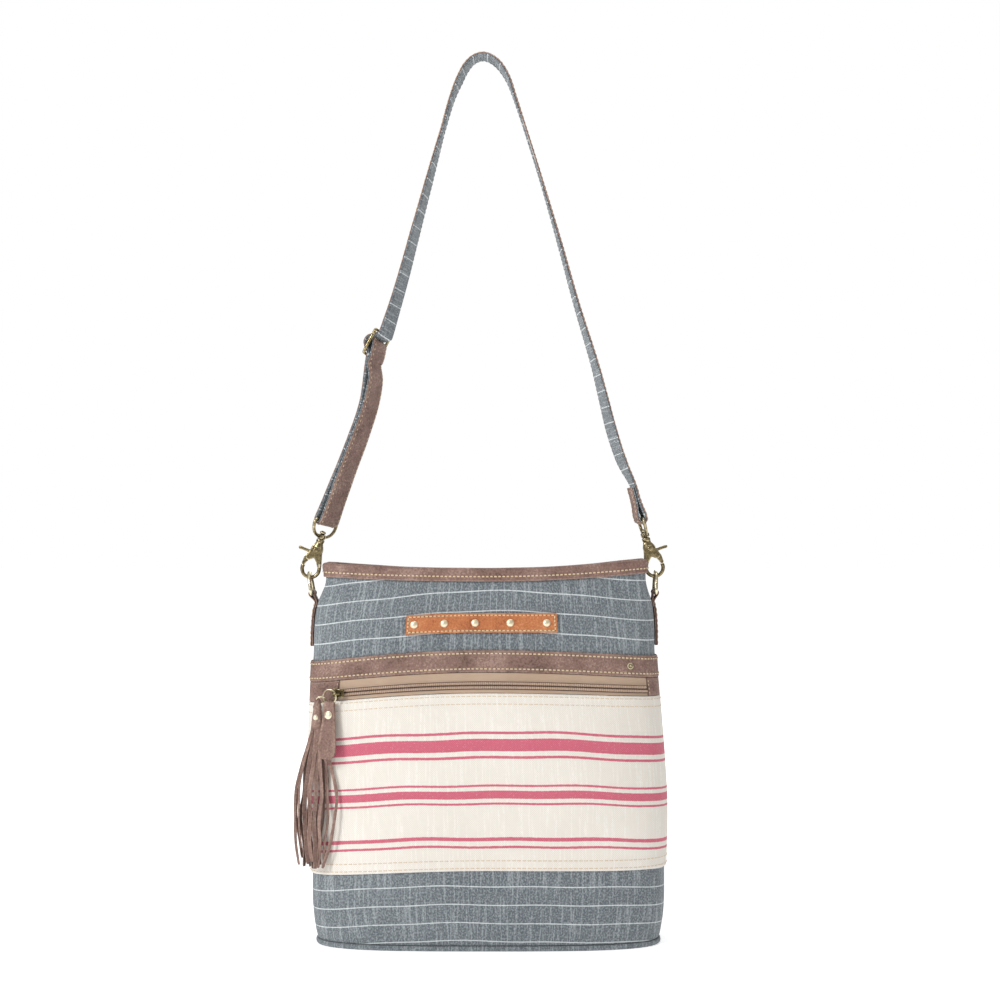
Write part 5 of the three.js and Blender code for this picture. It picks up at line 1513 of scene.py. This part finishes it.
def make_pull():
    """A leather tongue folded over the ring, both faces alike, widening to a round end."""
    wrap_radius = pull_ring_wire / 2 + ring_clear + pull_leather / 2
    rest = pull_leather / 2 + 0.04
    down = [(-0.5, wrap_radius), (-2.2, wrap_radius * 0.9), (-4.8, rest * 1.3), (-8, rest), (-20, rest),
            (-34, rest), (-pull_length, rest)]
    over = [vec(0, wrap_radius * math.cos(a), wrap_radius * math.sin(a))
            for a in np.linspace(0.2, math.pi - 0.2, 6)]
    points = [vec(0, y, z) for z, y in reversed(down)] + over + [vec(0, -y, z) for z, y in down]
    places, sideways, outs = curve_frames(points, [vec(1, 0, 0)] * len(points), 0.7)
    wide = pull_wide / 2
    low = -pull_length + wide
    z = places[:, 2]
    taper = np.interp(z, [low, low + wide * 0.6, 0], [wide, wide, pull_neck / 2])
    rounded = np.sqrt(np.maximum(wide ** 2 - np.maximum(low - z, 0) ** 2, 0.12))
    half = np.where(z < low, np.minimum(rounded, wide), taper)
    places = places + 0.25 * np.sin(z / 9)[:, None] * vec(0, -1, 0)
    return ribbon("pull_leather", places, sideways, outs, pull_leather, half)


def tilted(piece):
    """Tips a piece about the pull ring's lower edge, and hangs it there."""
    turn = Matrix.Rotation(-math.radians(pull_tilt), 4, "X")
    piece.data.transform(Matrix.Translation(Vector((ring_x, -ring_out, pull_top)) * mm) @ turn)
    return piece


finish_with(on_pull(tilted(make_pull())), brown, nodes=("pull_tab",))
pull_cap = make_dome("pull_rivet_cap", cap_wide, cap_high, 0.3)
pull_cap.data.transform(Matrix.Translation((0, -(pull_leather + 0.05) * mm, -pull_neck * 1.1 * mm))
                        @ Matrix.Rotation(math.radians(90), 4, "X"))
finish_with(on_pull(tilted(pull_cap)), pale_brass, nodes=("pull_rivet",))

hang_angle = math.radians(tassel_ring_at)
ring_way = vec(math.cos(hang_angle), 0, math.sin(hang_angle))
ring_apart = (pull_ring_wire + tassel_ring_wire) / 2 + ring_clear
ring_middle = vec(ring_x, -ring_out, ring_z) + ring_way * (pull_ring_radius - ring_apart + tassel_ring_radius)
ring_aside = vec(-ring_way[2], 0, ring_way[0])
ring_second = vec(0, 1, 0) * math.cos(math.radians(tassel_ring_turn)) + ring_aside * math.sin(
    math.radians(tassel_ring_turn))
tassel_ring = new_primitive("torus", major_radius=tassel_ring_radius, minor_radius=tassel_ring_wire / 2,
                            major_segments=48, minor_segments=14)
tassel_ring.name = "tassel_jump_ring"
only(tassel_ring)
bpy.ops.object.shade_smooth()
at_frame(tassel_ring, ring_middle, ring_way, np.cross(ring_way, ring_second))
finish_with(on_pull(tassel_ring), brass, nodes=("tassel_ring",))
hang = ring_middle + ring_way * tassel_ring_radius

# The tassel's strips: sideways at the start, two thirds down and at the end, length, all shares of the fall;
# width in millimetres; layer from back to front; how far it twists, in degrees.
strips = [
    (-0.032, -0.166, -0.118, 0.93, 2.4, 1, 50), (-0.034, -0.172, -0.150, 0.98, 2.8, 2, -35),
    (-0.024, -0.128, -0.092, 0.99, 3.2, 1, 70), (-0.028, -0.140, -0.124, 0.86, 2.2, 3, -60),
    (-0.014, -0.098, -0.070, 0.97, 3.4, 2, 35), (-0.016, -0.110, -0.052, 0.99, 2.6, 0, -80),
    (0.000, -0.052, -0.044, 0.95, 4.0, 3, -20), (-0.006, -0.070, -0.030, 1.00, 2.8, 1, 55),
    (0.008, -0.018, -0.010, 1.00, 3.8, 2, 24), (0.010, -0.004, 0.012, 0.97, 2.6, 0, -50),
    (0.016, 0.028, 0.020, 0.99, 3.4, 3, -30), (0.022, 0.048, 0.004, 0.94, 2.4, 1, 70),
    (0.026, 0.084, 0.048, 0.98, 2.8, 2, -50), (0.030, 0.146, 0.058, 0.99, 2.6, 3, 46),
]


def make_tassel():
    """A rolled leather head folded over its ring, wound once, and strips cut from the same leather."""
    cover = tassel_ring_wire / 2 + ring_clear + pull_leather
    outline = [
        (cover - 0.2, 0.30, 0.40), (cover - 0.9, 0.44, 0.62), (0.6, 0.50, 0.72), (-1.6, 0.54, 0.76),
        (-3.6, 0.60, 0.84), (-4.1, 0.70, 0.98), (-5.8, 0.72, 1.0), (-6.4, 0.64, 0.9), (-9, 0.72, 0.92),
        (-13, 0.84, 0.98), (-17, 0.94, 1.0), (-20.5, 1.0, 0.96), (-22.4, 0.98, 0.8), (-23, 0.8, 0.6),
    ]
    around = np.linspace(0, 2 * math.pi, 33)[:-1]
    rings, uv = [], []
    for z, wide, thick in outline:
        fold = 1 + 0.05 * np.sin(around * 7 + z / 3) * min(1.0, max(0.0, -z / 10))
        rings.append(np.stack([tassel_head_wide / 2 * wide * np.cos(around) * fold,
                               tassel_head_thick / 2 * thick * np.sin(around) * fold, np.full(32, float(z))], axis=1))
        turn = np.linspace(0, 26, 33)
        uv.append(np.stack([turn, np.full(33, float(z))], axis=1))
    pieces = [loft("tassel_head", rings, np.array(uv), marks=np.full(len(outline) * 32, 0.15))]
    for number, (start, middle, end, fall, wide, layer_, twist) in enumerate(strips):
        deep = (1.5 - layer_) * 0.8
        sway = 1.3 * math.sin(number * 2.3)
        z0 = -tassel_head_tall
        f = tassel_fall
        points = [
            vec(start * f * 0.9, deep * 0.7, z0 + 5), vec(start * f * 1.1, deep * 0.9, z0 - 2),
            vec((start * 0.35 + middle * 0.65) * f + sway * 0.4, deep + strand_back * 0.8, z0 - f * 0.26 * fall),
            vec(middle * f * 0.96 - sway, deep + strand_back * 0.6, z0 - f * 0.48 * fall),
            vec(middle * f + sway * 0.5, deep - strand_fore, z0 - f * 0.66 * fall),
            vec((middle * 0.45 + end * 0.55) * f - sway * 0.6, deep - strand_fore, z0 - f * 0.84 * fall),
            vec(end * f + sway, deep - strand_fore * 0.6, z0 - f * fall),
        ]
        turns = [0, 0, 0.25, 0.55, 0.8, 0.95, 1.1]
        angles = [math.radians(twist * t) for t in turns]
        facing = [vec(math.cos(a), math.sin(a) * 0.8, 0) for a in angles]
        places, sideways, outs = curve_frames(points, facing, 2.0)
        length = np.linspace(0, 1, len(places))
        half = wide / 2 * (1 + 0.07 * np.sin(length * 17 + number) + 0.05 * np.sin(length * 41 + 2 * number))
        half = half * np.where(length > 0.985, 0.72, 1.0)
        # Painted shade: strips further back get a deeper mark, and are painted darker.
        painted_shade = (1.0, 0.8, 0.4, 0)[layer_]
        pieces.append(ribbon(f"strip_{number}", places, sideways, outs, 1.25, half, 0.18,
                             47.0 * (number + 1), painted_shade))
    tassel = join("leather_tassel", *pieces)
    tassel.data.transform(Matrix.Translation(Vector(hang) * mm))
    return tassel


finish_with(on_pull(make_tassel()), brown, nodes=("tassel",))
tassel_cap = make_dome("tassel_rivet_cap", cap_wide * 0.7, cap_high, 0.25)
tassel_cap.data.transform(
    Matrix.Translation(Vector((hang[0], hang[1] - tassel_head_thick / 2 * 0.96, hang[2] - tassel_head_tall * 0.6)) * mm)
    @ Matrix.Rotation(math.radians(90), 4, "X"))
finish_with(on_pull(tassel_cap), pale_brass, nodes=("tassel_rivet",))


# Stitches

def sew(name, rows, length, radius, finish):
    """Rows of stitches in one piece."""
    centre, along, outwards = (np.concatenate(column) for column in zip(*rows))
    finish_with(capsules(name, centre, along, outwards, length, radius), finish)


front_seam, far_seam = 0.0035, 0.4965
rim_out = binding_gap + binding_thick - 0.22
sew("rim_stitches", [row_on_front(line("rim_low", 4.1), 0.004, 0.996, 3.4, out)
                     for out in (rim_out, -canvas_wall - rim_out)], 3.2, 0.6, tan_thread)
sew("band_stitches", [row_on_front(line(edge, shift), front_seam, far_seam, 3.5, gap + band_thick)
                      for edge, shift in (("band_top", -2.6), ("band_low", 2.9))],
    3.3, 0.58, tan_thread)
pocket_lines = (("cream_top", -2.4), ("cream_top", -8.6), ("cream_low", 2.4), ("cream_low", 8.6))
sew("pocket_stitches", [row_on_front(line(edge, shift), front_seam, far_seam, 4.2, gap + cream_thick)
                        for edge, shift in pocket_lines], 2.9, 0.36, cream_thread)


def side_row(x, low, high, pitch, out):
    """Stitches up the front at one distance from its middle."""
    share = share_at(x, (low + high) / 2)
    heights = np.linspace(low, high, max(2, round((high - low) / pitch)) + 1)
    heights = (heights[1:] + heights[:-1]) / 2
    up = wall.at(share, heights + 0.5) - wall.at(share, heights - 0.5)
    outwards = wall.out_at(np.full_like(heights, share), heights)
    return wall.at(share, heights, out), up / np.linalg.norm(up, axis=1, keepdims=True), outwards


tab_in = 1.7
tab_ends = [-tab_length / 2 - bag_x + tab_in, tab_length / 2 - bag_x - tab_in]
tab_shares = [share_at(x, tab_height) for x in tab_ends]
tab_out, tab_reach = gap + tab_thick, tab_tall / 2 - tab_in
tab_rows = [row_on_front(line("stud_tab", e), *tab_shares, 3.3, tab_out) for e in (tab_reach, -tab_reach)]
for x, share in zip(tab_ends, tab_shares):
    middle = float(edge_height("stud_tab", share))
    tab_rows.append(side_row(x, middle - tab_reach, middle + tab_reach, 3.3, tab_out))
sew("tab_stitches", tab_rows, 3.2, 0.56, tab_thread)

patch_rows = []
for x in (zip_right + 1.6, zip_left - 1.6):
    share = share_at(x, zip_height)
    low, high = float(window_low(share)) + 1, float(window_high(share)) - 1
    patch_rows.append(side_row(x, low, high, 3.2, gap + patch_thick))
sew("zip_end_stitches", patch_rows, 2.2, 0.34, tan_thread)


def strap_row(across, lift, pitch=4.1, after=0.0):
    """Stitches along the strap, at a distance from its middle line and on one of its faces."""
    line_points = strap_places + strap_widths * across
    run = run_along(line_points)
    at = np.arange(pitch + after, run[-1] - pitch, pitch)

    def pick(table):
        return np.stack([np.interp(at, run, table[:, k]) for k in range(3)], axis=1)

    outs = pick(strap_outs)
    outs /= np.linalg.norm(outs, axis=1, keepdims=True)
    alongs = pick(np.gradient(line_points, axis=0))
    alongs -= outs * np.sum(alongs * outs, axis=1, keepdims=True)
    alongs /= np.linalg.norm(alongs, axis=1, keepdims=True)
    return pick(line_points) + outs * lift, alongs, outs * math.copysign(1, lift)


strap_edge = strap_wide / 2 - 2.4
face = layer_gap / 2 + strap_layer
sew("strap_stitches_leather", [strap_row(side * strap_edge, face + 0.02) for side in (-1, 1)], 2.6, 0.34,
    tan_thread)
sewn_length = 2 * tail_length + 20
sew("strap_stitches_canvas", [strap_row(side * strap_edge, -face - 0.06, after=sewn_length) for side in (-1, 1)],
    2.6, 0.32, strap_thread)

tab_side_rows = []
for side, end in ends.items():
    for across in (-1, 1):
        rises = np.linspace(0.06, 0.94, 8)
        outer = np.array(end["tab_outer"])
        keys = np.linspace(0, 1, len(outer))
        centre = np.stack([np.interp(rises, keys, outer[:, k]) for k in range(3)], axis=1)
        centre += vec(end["hand"] * side_tab_leather / 2, across * (side_tab_wide / 2 - 2), 0)
        along = np.gradient(centre, axis=0)
        along /= np.linalg.norm(along, axis=1, keepdims=True)
        aside = np.cross(vec(0, 1, 0), along)
        aside *= np.sign(aside[:, :1] * end["hand"])
        tab_side_rows.append((centre, along, aside))
sew("side_stitches", tab_side_rows, 2.6, 0.36, tan_thread)


# Studio: pale floor, soft light, and the camera at the photograph's angle

def make_stage():
    """A pale floor, a white surround that lights more from above than from the side, and a soft key."""
    bpy.ops.object.select_all(action="DESELECT")
    bpy.ops.mesh.primitive_plane_add(size=1)
    floor = bpy.context.object
    floor.name = "studio_floor"
    floor.data.transform(Matrix.Translation((0, 0, ground * mm)) @ Matrix.Scale(floor_wide, 4))
    floor.data.materials.append(floor_finish())
    world = bpy.data.worlds.new("studio")
    world.use_nodes = True
    surround = Graph(world.node_tree)
    seen = world.node_tree.nodes.new("ShaderNodeLightPath").outputs["Is Camera Ray"]
    way = world.node_tree.nodes.new("ShaderNodeTexCoord").outputs["Generated"]
    light = surround.ramp(surround.split(way)[2], 0.0, 0.7, surround_low, surround_high)
    background = world.node_tree.nodes["Background"]
    background.inputs["Color"].default_value = (1, 1, 1, 1)
    surround.plug(background.inputs["Strength"], surround.ramp(seen, 0.0, 1.0, light, 1.0))
    bpy.context.scene.world = world
    for name, place, size, power in (
        ("key", (-1.5, -1.3, 0.6), 0.7, 28),
        ("fill", (1.6, -1.3, 0.1), 1.2, 2),
        ("top", (0.1, 0.1, 1.2), 0.9, 6),
        ("rear", (0.5, 1.6, 0.4), 1.2, 10),
    ):
        light = bpy.data.lights.new(name, "AREA")
        light.shape = "DISK"
        light.size = size
        light.energy = power
        lamp = bpy.data.objects.new(name, light)
        bpy.context.scene.collection.objects.link(lamp)
        lamp.location = place
        aim = Vector((0, 0, -0.45)) - Vector(place)
        lamp.rotation_euler = aim.to_track_quat("-Z", "Y").to_euler()
    camera = bpy.data.cameras.new("camera")
    camera.lens = 63.9
    camera.sensor_width = 36
    camera.clip_end = 20
    view = bpy.data.objects.new("camera", camera)
    bpy.context.scene.collection.objects.link(view)
    view.location = (0.0152, -1.5, -0.3735)
    view.rotation_euler = (math.radians(90), 0, 0)
    bpy.context.scene.camera = view
    bpy.context.scene.view_settings.view_transform = "Standard"


make_stage()
